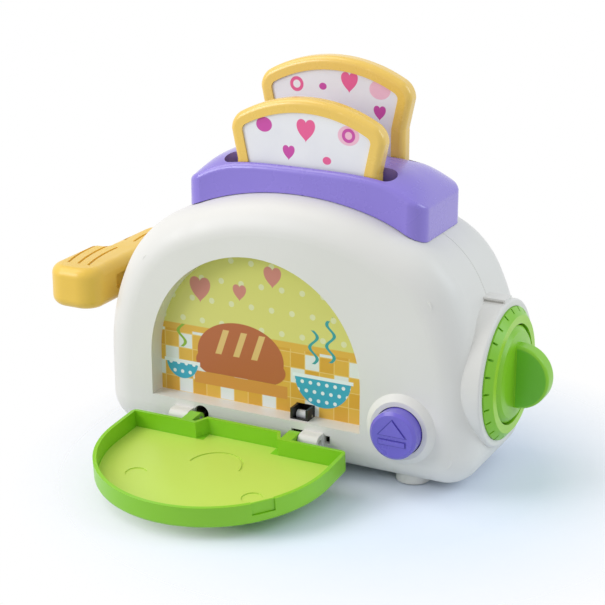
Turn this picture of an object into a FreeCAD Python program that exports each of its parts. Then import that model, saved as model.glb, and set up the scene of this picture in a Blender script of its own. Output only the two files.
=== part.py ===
import FreeCAD, Part
import math
import os
import re
import Sketcher

# A pop-up toaster for pretend play: two half shells, a purple slot cover, two slices of bread on a
# sprung carriage, a paddle that pushes them down, an eject button that lets them up, a drop-down
# front door and a click dial.
# +X is to the right, +Y to the back, +Z up. The pieces are drawn about a point on the table under the
# middle of the body, and the finished part's origin is under the middle of the front right foot's pad.
# All sizes are millimetres and degrees.

SIZES = {
    # body shells
    "body_half_depth": 39.0, "body_top": 133.4, "base_height": 3.5, "left_reach": 102.5,
    "right_reach": 97.5, "dome_radius": 142.0, "shoulder_angle": 27.0, "side_height": 44.0,
    "corner_radius": 18.0, "edge_round": 17.0, "wall": 2.4, "seat_gap": 0.3, "run_gap": 0.08,
    "seam_chamfer": 0.4, "foot_x": 62.0, "foot_setback": 18.0, "foot_radius": 8.3, "foot_lift": 0.6,
    "pad_radius": 6.0, "pad_sink": 1.2,
    # picture window
    "window_x": -15.4, "window_z": 26.0, "window_half_width": 57.0, "window_straight": 21.6,
    "recess_depth": 9.5, "recess_wall": 2.0, "card_thickness": 0.8, "card_overlap": 1.5,
    "retainer_thickness": 2.0, "retainer_band": 8.0,
    # front door
    "hinge_proud": 4.0, "hinge_z": 19.2, "door_x": -16.9, "door_half_width": 58.5,
    "door_straight": 19.7, "door_back": 8.7, "door_rim": 3.6, "door_depth": 10.5, "door_wall": 1.8,
    "door_floor": 2.0, "door_tilt": 4.5, "tongue_half_width": 20.0, "tongue_setback": 6.5,
    "jog_width": 3.5, "pin_radius": 1.5, "barrel_radius": 3.4, "lug_radius": 3.6,
    "ear_gap": 0.4, "left_ear_x": -48.2, "right_ear_x": 6.4, "ear_width": 5.8, "lug_width": 10.2,
    "notch_angle": -40.0, "notch_half_width": 5.6, "notch_drop": 6.0, "smile_radius": 13.2,
    # roller beside the sill
    "roller_x": 8.4, "roller_setback": 7.5, "roller_z": 27.0, "roller_radius": 2.2, "roller_length": 6.0,
    "roller_axle_radius": 0.8, "housing_half_width": 4.7, "housing_low": 19.5, "housing_top": 31.5,
    # eject button and latch
    "button_x": 62.8, "button_z": 32.5, "button_radius": 11.7, "button_proud": 10.4,
    "boss_proud": 3.0, "boss_base_radius": 17.5, "boss_face_radius": 14.4, "button_stroke": 3.0,
    "stem_radius": 3.0, "stem_tip": 1.0, "stem_taper": 1.2, "seat_setback": 7.5, "cap_wall": 2.0,
    "cap_skirt": 13.0,
    "latch_y": -12.0, "latch_z": 50.0, "latch_thickness": 3.0, "latch_nose": 2.0,
    "latch_width": 8.0, "latch_reach": 19.0, "latch_pin_radius": 1.5,
    # click dial
    "dial_z": 53.5, "collar_radius": 35.5, "collar_depth": 11.5, "collar_round": 1.2,
    "tab_half_width": 4.2, "tab_height": 1.6, "collar_proud": 2.1, "ring_radius": 31.9,
    "ring_sink": 2.6, "ring_proud": 3.9, "ring_hole": 24.2, "knob_radius": 23.3,
    "knob_proud": 2.0, "grip_length": 16.0, "grip_half_height": 15.5, "grip_thickness": 9.0,
    "dial_axle_radius": 4.0, "ratchet_radius": 8.0, "ratchet_setback": 25.0,
    "ratchet_width": 5.0, "ratchet_teeth": 24, "tick_count": 24,
    # slot cover
    "cover_overhang": 17.4, "cover_half_depth": 24.8, "cover_waist": 1.8, "flare_length": 20.0,
    "cover_corner": 8.0, "cover_rise": 0.6, "rim_rise": 10.8, "crown_rise": 15.0, "cover_wall": 2.1,
    "lip_wall": 1.4, "cover_round": 3.0, "stock_depth": 33.4, "stock_height": 60.0,
    "slot_x": 3.0, "slot_y": 15.0, "slot_half_length": 45.0, "slot_half_width": 5.5,
    "post_offset": 57.0, "post_y": 16.0, "post_radius": 3.4,
    # slices of bread
    "slice_width": 80.0, "slice_waist": 74.0, "slice_height": 85.0,
    "slice_thickness": 9.5, "slice_top_radius": 72.0, "shoulder_radius": 10.0, "waist_drop": 32.0,
    "crust_width": 6.5, "crust_round": 3.0, "slice_step": 15.2,
    "panel_recess": 1.0, "panel_thickness": 1.6,
    # carriage, rods, springs and paddle
    "lift": 34.0, "rod_radius": 2.5, "rod_offset": 52.0, "sleeve_radius": 5.0,
    "spring_wire": 0.55, "spring_turns": 14.0, "tray_wall": 1.6, "tray_height": 15.0, "tray_gap": 0.35,
    "tray_floor": 2.0, "tray_depth": 39.9, "sleeve_length": 16.0, "chassis_height": 3.0,
    "rod_tip_depth": 5.6, "flange_depth": 21.4, "flange_height": 2.0,
    "chute_half_width": 7.1, "chute_wall": 1.4,
    "arm_z": 69.8, "arm_height": 8.0, "arm_thickness": 4.0, "arm_grip": 13.0, "paddle_gap": 3.8,
    "front_lobe_width": 29.7, "back_lobe_width": 21.7, "paddle_front": 38.0, "lobe_meeting": 7.5,
    "paddle_back": 52.0, "front_corner": 11.0, "back_corner": 8.5, "notch_corner": 6.2, "notch_round": 1.0,
    "paddle_bottom": 62.5, "paddle_thickness": 21.5, "paddle_wall": 2.2, "paddle_round": 5.0,
    "lobe_inset": 3.7, "core_half": 8.0, "recess_half_length": 16.5, "recess_half_height": 3.9,
    "arm_recess": 3.0, "front_screw_y": 21.0, "back_screw_y": 28.0,
    "groove_radius": 96.6, "groove_width": 1.5, "groove_depth": 0.8, "groove_pitch": 6.0,
    "front_groove_inset": 4.3, "front_groove_y": 0.4, "front_groove_start": -17.0, "front_groove_end": 3.0,
    "back_groove_inset": 2.7, "back_groove_y": 36.4, "back_groove_start": -10.7, "back_groove_end": 5.7,
    # screws
    "screw_grip": 12.0, "head_setback": 13.0, "screw_radius": 1.4, "screw_head": 2.8, "screw_boss": 4.0,
}

# Places that follow from the sizes above.
PLACES = {
    "foot_y": "body_half_depth - foot_setback",
    "head_seat": "body_half_depth - head_setback",
    "mouth_half_depth": "slot_y + slot_half_width + lip_wall - 1",
    "mouth_half_length": "slot_half_length + 4.5",
    "hinge_y": "-(body_half_depth + hinge_proud)",
    "roller_y": "-(body_half_depth - roller_setback)",
    "button_face": "-(body_half_depth + button_proud)",
    "boss_face": "-(body_half_depth + boss_proud)",
    "button_seat": "-(body_half_depth - seat_setback)",
    "collar_face": "right_reach + collar_proud",
    "collar_root": "right_reach - collar_depth",
    "ring_seat": "collar_face - ring_sink",
    "ring_face": "collar_face + ring_proud",
    "knob_face": "ring_face + knob_proud",
    "grip_reach": "knob_face + grip_length",
    "ratchet_x": "right_reach - ratchet_setback",
    "cover_half_length": "slot_half_length + cover_overhang",
    "cover_end_top": "body_top + cover_rise",
    "left_post_x": "slot_x - post_offset",
    "right_post_x": "slot_x + post_offset",
    "left_rod_x": "slot_x - rod_offset",
    "right_rod_x": "slot_x + rod_offset",
    "front_floor": "body_top - tray_depth",
    "front_slice_top": "front_floor + slice_height",
    "flange_low": "body_top - flange_depth",
    "sleeve_high": "flange_low",
    "sleeve_low": "sleeve_high - sleeve_length",
    "rod_boss_low": "sleeve_high + 1",
    "paddle_right": "-(left_reach + paddle_gap)",
    "paddle_middle": "paddle_bottom + paddle_thickness / 2",
    "hollow_right": "paddle_right - arm_recess - paddle_wall",
    "front_hollow_half": "(front_lobe_width - arm_recess - paddle_wall - lobe_inset) / 2",
    "back_hollow_half": "(back_lobe_width - arm_recess - paddle_wall - lobe_inset) / 2",
    "front_hollow_x": "hollow_right - front_hollow_half",
    "front_lobe_groove": "paddle_right - front_lobe_width + front_groove_inset",
    "back_lobe_groove": "paddle_right - back_lobe_width + back_groove_inset",
    "back_hollow_x": "hollow_right - back_hollow_half",
    "stock_low": "body_top - stock_depth",
}

V = FreeCAD.Vector
doc = FreeCAD.newDocument("toy_toaster")
sheet = doc.addObject("Spreadsheet::Sheet", "size")
for row, (alias, value) in enumerate(SIZES.items(), start=1):
    sheet.set("A%d" % row, alias)
    sheet.set("B%d" % row, str(value))
    sheet.setAlias("B%d" % row, alias)
doc.recompute()

WORDS = re.compile(r"[a-z_]{3,}")


def full(expression):
    """Writes out the places and puts the sheet's name before every size in the expression."""
    def word(found):
        name = found.group(0)
        if name in PLACES:
            return "(%s)" % full(PLACES[name])
        return "size." + name if name in SIZES else name

    return WORDS.sub(word, str(expression))


def value(expression):
    return float(sheet.evalExpression(full(expression)))


def bind(thing, prop, expression):
    thing.setExpression(prop, full(expression))


def constrainPoint(sketch, geometry, position, x, y):
    for kind, size, axis in (("DistanceX", x, -2), ("DistanceY", y, -1)):
        if str(size) == "0":
            sketch.addConstraint(Sketcher.Constraint("PointOnObject", geometry, position, axis))
            continue
        if kind == "DistanceX":
            constraint = Sketcher.Constraint("DistanceX", -1, 1, geometry, position, value(size))
        else:
            constraint = Sketcher.Constraint("DistanceY", -1, 1, geometry, position, value(size))
        index = sketch.addConstraint(constraint)
        bind(sketch, "Constraints[%d]" % index, size)


def drawPath(sketch, path):
    """A closed outline: the first entry is its start, then (x, y) lines or
    (x, y, centreX, centreY, ccw) arcs."""
    count = len(path) - 1
    first = sketch.GeometryCount
    start = path[0]
    ends = []
    for step in path[1:]:
        a = V(value(start[0]), value(start[1]), 0)
        b = V(value(step[0]), value(step[1]), 0)
        if len(step) == 2:
            index = sketch.addGeometry(Part.LineSegment(a, b))
            ends.append((index, 1, 2))
        else:
            centre = V(value(step[2]), value(step[3]), 0)
            angleA = math.atan2(a.y - centre.y, a.x - centre.x)
            angleB = math.atan2(b.y - centre.y, b.x - centre.x)
            circle = Part.Circle(centre, V(0, 0, 1), (a - centre).Length)
            low, high = (angleA, angleB) if step[4] else (angleB, angleA)
            if high <= low:
                high += 2 * math.pi
            index = sketch.addGeometry(Part.ArcOfCircle(circle, low, high))
            ends.append((index, 1, 2) if step[4] else (index, 2, 1))
        start = step
    for k in range(count):
        index, begin, end = ends[k]
        following = ends[(k + 1) % count]
        sketch.addConstraint(Sketcher.Constraint("Coincident", index, end, following[0], following[1]))
        constrainPoint(sketch, index, begin, path[k][0], path[k][1])
        step = path[k + 1]
        if len(step) == 5:
            chord = V(value(step[0]) - value(path[k][0]), value(step[1]) - value(path[k][1]), 0)
            kind, name, axis = ("DistanceY", step[3], -1) if abs(chord.x) >= abs(chord.y) else (
                "DistanceX", step[2], -2)
            if name == "0":
                sketch.addConstraint(Sketcher.Constraint("PointOnObject", index, 3, axis))
                continue
            free = sketch.addConstraint(Sketcher.Constraint(kind, -1, 1, index, 3, value(name)))
            bind(sketch, "Constraints[%d]" % free, name)
    return first


def drawCircle(sketch, x, y, radius):
    index = sketch.addGeometry(Part.Circle(V(value(x), value(y), 0), V(0, 0, 1), value(radius)))
    constrainPoint(sketch, index, 3, x, y)
    number = sketch.addConstraint(Sketcher.Constraint("Radius", index, value(radius)))
    bind(sketch, "Constraints[%d]" % number, radius)


class Piece:
    """One PartDesign body. Every feature runs from a start coordinate along its plane's world axis
    (+Z for XY, +Y for XZ, +X for YZ)."""

    def __init__(self, label):
        self.body = doc.addObject("PartDesign::Body", label)
        self.body.Label = label
        self.label = label
        self.count = 0

    def sketch(self, plane, start, outlines):
        self.count += 1
        sketch = self.body.newObject("Sketcher::SketchObject", "%s_outline_%d" % (self.label, self.count))
        origin = [f for f in self.body.Origin.OriginFeatures if f.Role == plane + "_Plane"][0]
        sketch.AttachmentSupport = [(origin, "")]
        sketch.MapMode = "FlatFace"
        sign = "-1*" if plane == "XZ" else ""
        bind(sketch, "AttachmentOffset.Base.z", "%s(%s)" % (sign, start))
        for outline in outlines:
            if outline[0] == "circle":
                drawCircle(sketch, *outline[1:])
            else:
                drawPath(sketch, outline)
        return sketch

    def feature(self, kind, plane, start, length, outlines):
        sketch = self.sketch(plane, start, outlines)
        thing = self.body.newObject("PartDesign::" + kind, "%s_%s_%d" % (self.label, kind.lower(), self.count))
        thing.Profile = sketch
        bind(thing, "Length", length)
        thing.Reversed = (plane == "XZ") if kind == "Pad" else (plane != "XZ")
        sketch.Visibility = False
        doc.recompute()
        if thing.Shape.isNull() or "Invalid" in thing.State:
            raise RuntimeError("%s did not build" % thing.Name)
        return thing

    def add(self, plane, start, length, outlines):
        return self.feature("Pad", plane, start, length, outlines)

    def cut(self, plane, start, length, outlines):
        return self.feature("Pocket", plane, start, length, outlines)

    def turn(self, plane, centre, outline, axis, cut=False):
        """Turns an outline drawn from the centre point about the sketch's own H or V axis."""
        sketch = self.sketch(plane, centre[2], [outline])
        bind(sketch, "AttachmentOffset.Base.x", centre[0])
        bind(sketch, "AttachmentOffset.Base.y", centre[1])
        kind = "Groove" if cut else "Revolution"
        thing = self.body.newObject("PartDesign::" + kind, "%s_turned_%d" % (self.label, self.count))
        thing.Profile = sketch
        thing.ReferenceAxis = (sketch, [axis])
        thing.Angle = 360
        sketch.Visibility = False
        doc.recompute()
        if thing.Shape.isNull() or "Invalid" in thing.State:
            raise RuntimeError("%s did not build" % thing.Name)
        return thing

    def remove(self, tool):
        thing = self.body.newObject("PartDesign::Boolean", "%s_less_%s" % (self.label, tool.label))
        thing.Type = "Cut"
        thing.setObjects([tool.body])
        doc.recompute()
        return thing

    def dress(self, kind, size, chooses):
        base = self.body.Tip
        names = ["Edge%d" % (n + 1) for n, edge in enumerate(base.Shape.Edges) if chooses(edge)]
        self.count += 1
        thing = self.body.newObject("PartDesign::" + kind, "%s_%s_%d" % (self.label, kind.lower(), self.count))
        thing.Base = (base, names)
        bind(thing, "Radius" if kind == "Fillet" else "Size", size)
        doc.recompute()
        if thing.Shape.isNull() or "Invalid" in thing.State:
            raise RuntimeError("%s did not build (%d edges)" % (thing.Name, len(names)))
        return thing

    def place(self, x, y, z, axis=None, angle="0"):
        bind(self.body, "Placement.Base.x", x)
        bind(self.body, "Placement.Base.y", y)
        bind(self.body, "Placement.Base.z", z)
        if axis is not None:
            self.body.Placement.Rotation = FreeCAD.Rotation(axis, value(angle))
            bind(self.body, "Placement.Rotation.Angle", angle)


def rectangle(x0, y0, x1, y1):
    return [(x0, y0), (x1, y0), (x1, y1), (x0, y1), (x0, y0)]


def arch(x, z, half, straight):
    """A window or lid outline: flat below, straight sides and a half-round top."""
    left, right, spring = "%s - (%s)" % (x, half), "%s + (%s)" % (x, half), "%s + (%s)" % (z, straight)
    return [(left, z), (right, z), (right, spring), (left, spring, x, spring, True), (left, z)]


def stadium(x, y, halfLength, radius):
    left, right = "%s - (%s) + (%s)" % (x, halfLength, radius), "%s + (%s) - (%s)" % (x, halfLength, radius)
    low, high = "%s - (%s)" % (y, radius), "%s + (%s)" % (y, radius)
    return [(left, low), (right, low), (right, high, right, y, True), (left, high),
            (left, low, left, y, True)]


def domeOutline(inset):
    """The body's outline from the front, inset by the given thickness."""
    left, right = "(left_reach - (%s))" % inset, "(right_reach - (%s))" % inset
    top, bottom = "(body_top - (%s))" % inset, "(base_height + (%s))" % inset
    radius, corner = "(dome_radius - (%s))" % inset, "(corner_radius - (%s))" % inset
    s, c = "sin(shoulder_angle)", "cos(shoulder_angle)"
    joinX = "(%s * %s)" % (radius, s)
    joinZ = "(%s - %s * (1 - %s))" % (top, radius, c)

    def side(reach):
        lower = "((%s - side_height - %s + %s) / (%s + %s - 1))" % (joinZ, reach, joinX, s, c)
        upper = "((%s - %s - %s * (1 - %s)) / (%s - %s))" % (reach, joinX, lower, c, c, s)
        return lower, upper

    lowR, highR = side(right)
    lowL, highL = side(left)
    kneeRX, kneeRZ = "%s - %s * (1 - %s)" % (right, lowR, c), "side_height + %s * %s" % (lowR, s)
    kneeLX, kneeLZ = "-(%s - %s * (1 - %s))" % (left, lowL, c), "side_height + %s * %s" % (lowL, s)
    return [
        ("-(%s - %s)" % (left, corner), bottom),
        ("%s - %s" % (right, corner), bottom),
        (right, "%s + %s" % (bottom, corner), "%s - %s" % (right, corner),
         "%s + %s" % (bottom, corner), True),
        (right, "side_height"),
        (kneeRX, kneeRZ, "%s - %s" % (right, lowR), "side_height", True),
        (joinX, joinZ, "%s - %s * %s" % (joinX, highR, s), "%s - %s * %s" % (joinZ, highR, c), True),
        ("-" + joinX, joinZ, "0", "%s - %s" % (top, radius), True),
        (kneeLX, kneeLZ, "-(%s - %s * %s)" % (joinX, highL, s), "%s - %s * %s" % (joinZ, highL, c), True),
        ("-" + left, "side_height", "-(%s - %s)" % (left, lowL), "side_height", True),
        ("-" + left, "%s + %s" % (bottom, corner)),
        ("-(%s - %s)" % (left, corner), bottom, "-(%s - %s)" % (left, corner),
         "%s + %s" % (bottom, corner), True),
    ]


def onPlane(axis, coordinate):
    """Chooses the edges that lie wholly at one coordinate."""
    def chooses(edge):
        box = edge.BoundBox
        low, high = (box.XMin, box.XMax) if axis == "x" else (
            (box.YMin, box.YMax) if axis == "y" else (box.ZMin, box.ZMax))
        return abs(low - coordinate) < 0.01 and abs(high - coordinate) < 0.01
    return chooses


# ---- the two half shells ----

def halfDisc(centreZ, radius, front):
    low, high = "%s - (%s)" % (centreZ, radius), "%s + (%s)" % (centreZ, radius)
    if front:
        return [("0", low), ("0", high), ("0", low, "0", centreZ, True)]
    return [("0", high), ("0", low), ("0", high, "0", centreZ, True)]


def halfRound(x, radius, front):
    """A half disc in plan, on this half's side of the seam."""
    left, right = "%s - (%s)" % (x, radius), "%s + (%s)" % (x, radius)
    if front:
        return [(right, "0"), (left, "0"), (right, "0", x, "0", True)]
    return [(left, "0"), (right, "0"), (left, "0", x, "0", True)]


def shellCore(label, front):
    """The hollow inside one half shell, rounded like the outside."""
    core = Piece(label)
    deep = "(body_half_depth - wall)"
    start, far = ("-" + deep, -1) if front else ("0", 1)
    core.add("XZ", start, deep, [domeOutline("wall")])
    core.dress("Fillet", "edge_round - wall", onPlane("y", far * value(deep)))
    return core


SHELL_SCREWS = [("-(left_reach - 14.5)", "base_height + 18.5"), ("right_reach - 13.5", "base_height + 16.5"),
                ("-(left_reach - 29.5)", "body_top - 39.4"), ("right_reach - 25.5", "body_top - 40.4")]


def halfShell(label, front):
    shell = Piece(label)
    side = "-" if front else ""
    far = -1 if front else 1
    start = "-body_half_depth" if front else "0"

    def span(low, high):
        """A range of y on this half, given as distances from the seam."""
        return ("-(%s)" % high if front else low, "%s - (%s)" % (high, low))

    shell.add("XZ", start, "body_half_depth", [domeOutline("0")])
    shell.dress("Fillet", "edge_round", onPlane("y", far * value("body_half_depth")))
    shell.dress("Chamfer", "seam_chamfer", onPlane("y", 0.0))
    feet = [("circle", x, side + "foot_y", "foot_radius") for x in ("foot_x", "-foot_x")]
    shell.add("XY", "foot_lift", "base_height + 5 - foot_lift", feet)
    shell.add("YZ", "collar_root", "collar_face - collar_root", [halfDisc("dial_z", "collar_radius", front)])
    shell.dress("Fillet", "collar_round", lambda e: onPlane("x", value("collar_face"))(e) and
                abs(e.Length - math.pi * value("collar_radius")) < 0.5)
    tabLow, tabLength = span("0", "tab_half_width")
    shell.add("XZ", tabLow, tabLength, [rectangle("collar_root + 2", "dial_z + collar_radius - 3",
                                                  "collar_face - 0.6", "dial_z + collar_radius + tab_height")])
    if front:
        shell.cut("XZ", "-tab_half_width", "1", [rectangle(
            "collar_root + 2", "dial_z + collar_radius - 0.2", "collar_face - 1.6",
            "dial_z + collar_radius + 0.7")])
        shell.turn("XY", ("button_x", "0", "button_z"), [
            ("0", "boss_face"), ("boss_face_radius", "boss_face"), ("boss_base_radius", "-body_half_depth"),
            ("boss_base_radius", "-(body_half_depth - 8)"), ("0", "-(body_half_depth - 8)"),
            ("0", "boss_face")], "V_Axis")
    core = shellCore("front_hollow" if front else "back_hollow", front)
    shell.remove(core)
    shell.cut("YZ", "ring_seat", "10", [halfDisc("dial_z", "ring_radius + 0.2", front)])
    shell.cut("YZ", "80", "30", [halfDisc("dial_z", "dial_axle_radius + run_gap", front)])
    padLow = "foot_lift"
    shell.cut("XY", padLow, "pad_sink", [("circle", x, side + "foot_y", "pad_radius + 0.15")
                                         for x in ("foot_x", "-foot_x")])
    low, length = span("0", "body_half_depth - wall + 1")
    shell.add("XZ", low, length, [("circle", x, z, "screw_boss") for x, z in SHELL_SCREWS])
    if front:
        shell.cut("XZ", "-screw_grip", "screw_grip + 1", [("circle", x, z, "screw_radius + 0.02")
                                                         for x, z in SHELL_SCREWS])
    else:
        shell.cut("XZ", "-1", "body_half_depth + 2", [("circle", x, z, "screw_radius + 0.3")
                                                     for x, z in SHELL_SCREWS])
        shell.cut("XZ", "head_seat", "20", [("circle", x, z, "screw_head + 0.4") for x, z in SHELL_SCREWS])
    openLow, openHigh = ("-mouth_half_depth", "0") if front else ("0", "mouth_half_depth")
    shell.cut("XY", "stock_low", "stock_height", [rectangle("slot_x - mouth_half_length", openLow,
                                                            "slot_x + mouth_half_length", openHigh)])
    shell.cut("XY", "stock_low", "stock_height", [("circle", x, side + "post_y", "post_radius + 0.35")
                                                  for x in ("left_post_x", "right_post_x")])
    for x, rise in (("left_rod_x", "10.2"), ("right_rod_x", "12.4")):
        shell.add("XY", "rod_boss_low", "body_top - %s - rod_boss_low" % rise,
                  [halfRound(x, "sleeve_radius", front)])
        shell.cut("XY", "rod_boss_low", "rod_tip_depth", [halfRound(x, "rod_radius + 0.03", front)])
    armLow, armHigh = ("-(arm_thickness / 2 + 0.6)", "0") if front else ("0", "arm_thickness / 2 + 0.6")
    shell.cut("YZ", "-(left_reach + 2)", "corner_radius", [rectangle(armLow, "arm_z - lift - 1", armHigh,
                                                                     "arm_z + arm_height + 1")])
    return shell


def lugOutline():
    back = "-(body_half_depth - 1.4)"
    return [("hinge_y", "hinge_z - lug_radius"), (back, "hinge_z - lug_radius"),
            (back, "hinge_z + lug_radius"), ("hinge_y", "hinge_z + lug_radius"),
            ("hinge_y", "hinge_z - lug_radius", "hinge_y", "hinge_z", True)]


LUG_STARTS = ("left_ear_x - ear_gap - lug_width", "right_ear_x + ear_width + ear_gap")
RETAINER_SCREWS = [("window_x - window_half_width - 5.6", "window_z + 8"),
                   ("window_x + window_half_width + 5.6", "window_z + 36"),
                   ("window_x - 0.78 * window_half_width", "window_z + window_straight + 0.78 * window_half_width"),
                   ("window_x + 0.78 * window_half_width", "window_z + window_straight + 0.78 * window_half_width")]


def frontShell():
    shell = halfShell("front_shell", True)
    shell.add("XZ", "-(body_half_depth - 1)", "recess_depth - 1", [
        arch("window_x", "window_z - recess_wall", "window_half_width + recess_wall",
             "window_straight + recess_wall")])
    shell.cut("XZ", "-(body_half_depth + 5)", "recess_depth + 10",
              [arch("window_x", "window_z", "window_half_width", "window_straight")])
    shell.add("XZ", "-(body_half_depth - 1)", "body_half_depth + button_seat + 1",
              [("circle", "button_x", "button_z", "button_radius + 2.4")])
    shell.cut("XZ", "boss_face - 1", "button_seat - boss_face + 1",
              [("circle", "button_x", "button_z", "button_radius + 0.4")])
    shell.cut("XZ", "boss_face", "20", [("circle", "button_x", "button_z", "stem_radius + 0.3")])
    for start in LUG_STARTS:
        shell.add("YZ", start, "lug_width", [lugOutline()])
        shell.cut("YZ", start, "lug_width", [("circle", "hinge_y", "hinge_z", "pin_radius + 0.02")])
    shell.cut("XZ", "-(body_half_depth + 1)", "6", [
        arch("left_ear_x + ear_width / 2 + 0.9", "hinge_z - 3.2", "ear_width / 2 + 1.2", "4.6"),
        rectangle("right_ear_x - 0.8", "hinge_z - 3.2", "right_ear_x + ear_width + 0.2", "hinge_z + 3"),
        rectangle("right_ear_x + ear_width + ear_gap + lug_width + 0.4", "hinge_z - 1.5",
                  "right_ear_x + ear_width + ear_gap + lug_width + 3.4", "hinge_z + 2.5")])
    shell.cut("XY", "housing_low - 0.2", "housing_top - housing_low + 2", [
        rectangle("roller_x - housing_half_width - 0.2", "-(body_half_depth - wall)",
                  "roller_x + housing_half_width + 0.2", "-(body_half_depth - recess_depth) + 6")])
    bossStart, bossEnd = "-(body_half_depth - 1)", "-(body_half_depth - recess_depth - card_thickness)"
    shell.add("XZ", bossStart, "recess_depth + card_thickness - 1",
              [("circle", x, z, "screw_boss") for x, z in RETAINER_SCREWS])
    shell.cut("XZ", "-(body_half_depth - 3)", "20",
              [("circle", x, z, "screw_radius + 0.02") for x, z in RETAINER_SCREWS])
    return shell


def backShell():
    return halfShell("back_shell", False)


# ---- plain solids, their joins and their groups ----

TURNS = {"x": FreeCAD.Rotation(V(0, 1, 0), 90), "y": FreeCAD.Rotation(V(1, 0, 0), -90),
         "z": FreeCAD.Rotation()}


def box(label, low, high):
    """A block between two corners, each given as x, y and z expressions."""
    thing = doc.addObject("Part::Box", label)
    for prop, a, b in zip(("Length", "Width", "Height"), low, high):
        bind(thing, prop, "(%s) - (%s)" % (b, a))
    for axis, a in zip("xyz", low):
        bind(thing, "Placement.Base." + axis, a)
    return thing


def rod(label, axis, start, radius, length):
    """A cylinder from its start point along one axis."""
    thing = doc.addObject("Part::Cylinder", label)
    thing.Placement = FreeCAD.Placement(V(0, 0, 0), TURNS[axis])
    bind(thing, "Radius", radius)
    bind(thing, "Height", length)
    for name, a in zip("xyz", start):
        bind(thing, "Placement.Base." + name, a)
    return thing


def join(label, shapes):
    thing = doc.addObject("Part::MultiFuse", label)
    thing.Shapes = shapes
    return thing


def less(label, base, tools):
    thing = doc.addObject("Part::Cut", label)
    thing.Base = base
    thing.Tool = tools[0] if len(tools) == 1 else join(label + "_tools", tools)
    return thing


def group(label, shapes):
    thing = doc.addObject("Part::Compound", label)
    thing.Links = shapes
    return thing


def screw(label, axis, tip, reach, headLength="2.2"):
    """A round-head screw: the shaft runs from its tip along the axis, the head beyond it."""
    shaft = rod(label + "_shaft", axis, tip, "screw_radius", reach)
    head = list(tip)
    head["xyz".index(axis)] = "%s + (%s)" % (tip["xyz".index(axis)], reach)
    return join(label, [shaft, rod(label + "_head", axis, head, "screw_head", headLength)])


# ---- feet and screws ----

def footPads():
    return group("foot_pads", [
        rod("pad_%d" % n, "z", (x, y, "0"), "pad_radius", "foot_lift + pad_sink")
        for n, (x, y) in enumerate((a, b) for a in ("-foot_x", "foot_x") for b in ("-foot_y", "foot_y"))])


def shellScrews():
    return group("shell_screws", [
        screw("shell_screw_%d" % n, "y", (x, "1 - screw_grip", z), "head_seat + screw_grip - 1")
        for n, (x, z) in enumerate(SHELL_SCREWS)])


# ---- picture window ----

CARD_FRONT = "-(body_half_depth - recess_depth)"


def rollerNotch(gap):
    return rectangle("roller_x - housing_half_width - " + gap, "0",
                     "roller_x + housing_half_width + " + gap, "housing_top + " + gap)


def pictureCard():
    card = Piece("picture_card")
    card.add("XZ", CARD_FRONT, "card_thickness", [
        arch("window_x", "window_z - card_overlap", "window_half_width + card_overlap",
             "window_straight + card_overlap")])
    card.cut("XZ", CARD_FRONT, "card_thickness", [rollerNotch("0.3")])
    return card


def cardRetainer():
    plate = Piece("card_retainer")
    start = CARD_FRONT + " + card_thickness"
    wide = "recess_wall + retainer_band"
    plate.add("XZ", start, "retainer_thickness", [
        arch("window_x", "window_z - recess_wall", "window_half_width + " + wide, "window_straight + recess_wall")])
    plate.cut("XZ", start, "retainer_thickness", [
        arch("window_x", "window_z + retainer_band", "window_half_width - retainer_band",
             "window_straight - retainer_band")])
    plate.cut("XZ", start, "retainer_thickness", [rollerNotch("0.3")])
    plate.cut("XZ", start, "retainer_thickness",
              [("circle", x, z, "screw_radius + 0.3") for x, z in RETAINER_SCREWS])
    return plate


def retainerScrews():
    back = CARD_FRONT + " + card_thickness + retainer_thickness"
    return group("retainer_screws", [
        screw("retainer_screw_%d" % n, "y", (x, "-(body_half_depth - 4)", z),
              "%s + body_half_depth - 4" % back, "1.6") for n, (x, z) in enumerate(RETAINER_SCREWS)])


def rollerHousing():
    front, back = "-(body_half_depth - wall)", CARD_FRONT + " + 5"
    left, right = "roller_x - housing_half_width", "roller_x + housing_half_width"
    outer = box("housing_block", (left, front, "housing_low"), (right, back, "housing_top"))
    inner = box("housing_inside", (left + " + 1.2", front + " + 1.2", "housing_low + 1.2"),
                (right + " - 1.2", back + " - 1.2", "housing_top + 1"))
    mouth = box("housing_mouth", (left + " + 1.2", front + " - 1", "window_z + 0.5"),
                (right + " - 1.2", front + " + 2", "housing_top + 1"))
    bore = rod("housing_bore", "x", (left + " - 1", "roller_y", "roller_z"), "roller_axle_radius + 0.02",
               "2 * housing_half_width + 2")
    return less("roller_housing", outer, [inner, mouth, bore])


def detentRoller():
    start = ("roller_x - roller_length / 2", "roller_y", "roller_z")
    return less("detent_roller", rod("roller_drum", "x", start, "roller_radius", "roller_length"),
                [rod("roller_bore", "x", start, "roller_axle_radius + run_gap", "roller_length")])


def rollerAxle():
    return rod("roller_axle", "x", ("roller_x - housing_half_width", "roller_y", "roller_z"),
               "roller_axle_radius", "2 * housing_half_width")


# ---- front door ----

def doorOutline(inset):
    """The tray's plan in its own frame, hinge line on the x axis, opening towards -y."""
    half, back = "(door_half_width - (%s))" % inset, "(-door_back - (%s))" % inset
    tongue = "(-(door_back - tongue_setback) - (%s))" % inset
    inner = "(tongue_half_width - 0.6 * (%s))" % inset
    spring = "(-door_back - door_straight)"
    return [(half, spring), (half, back), ("%s + jog_width" % inner, back), (inner, tongue),
            ("-" + inner, tongue), ("-(%s + jog_width)" % inner, back), ("-" + half, back),
            ("-" + half, spring), (half, spring, "0", spring, True)]


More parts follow.
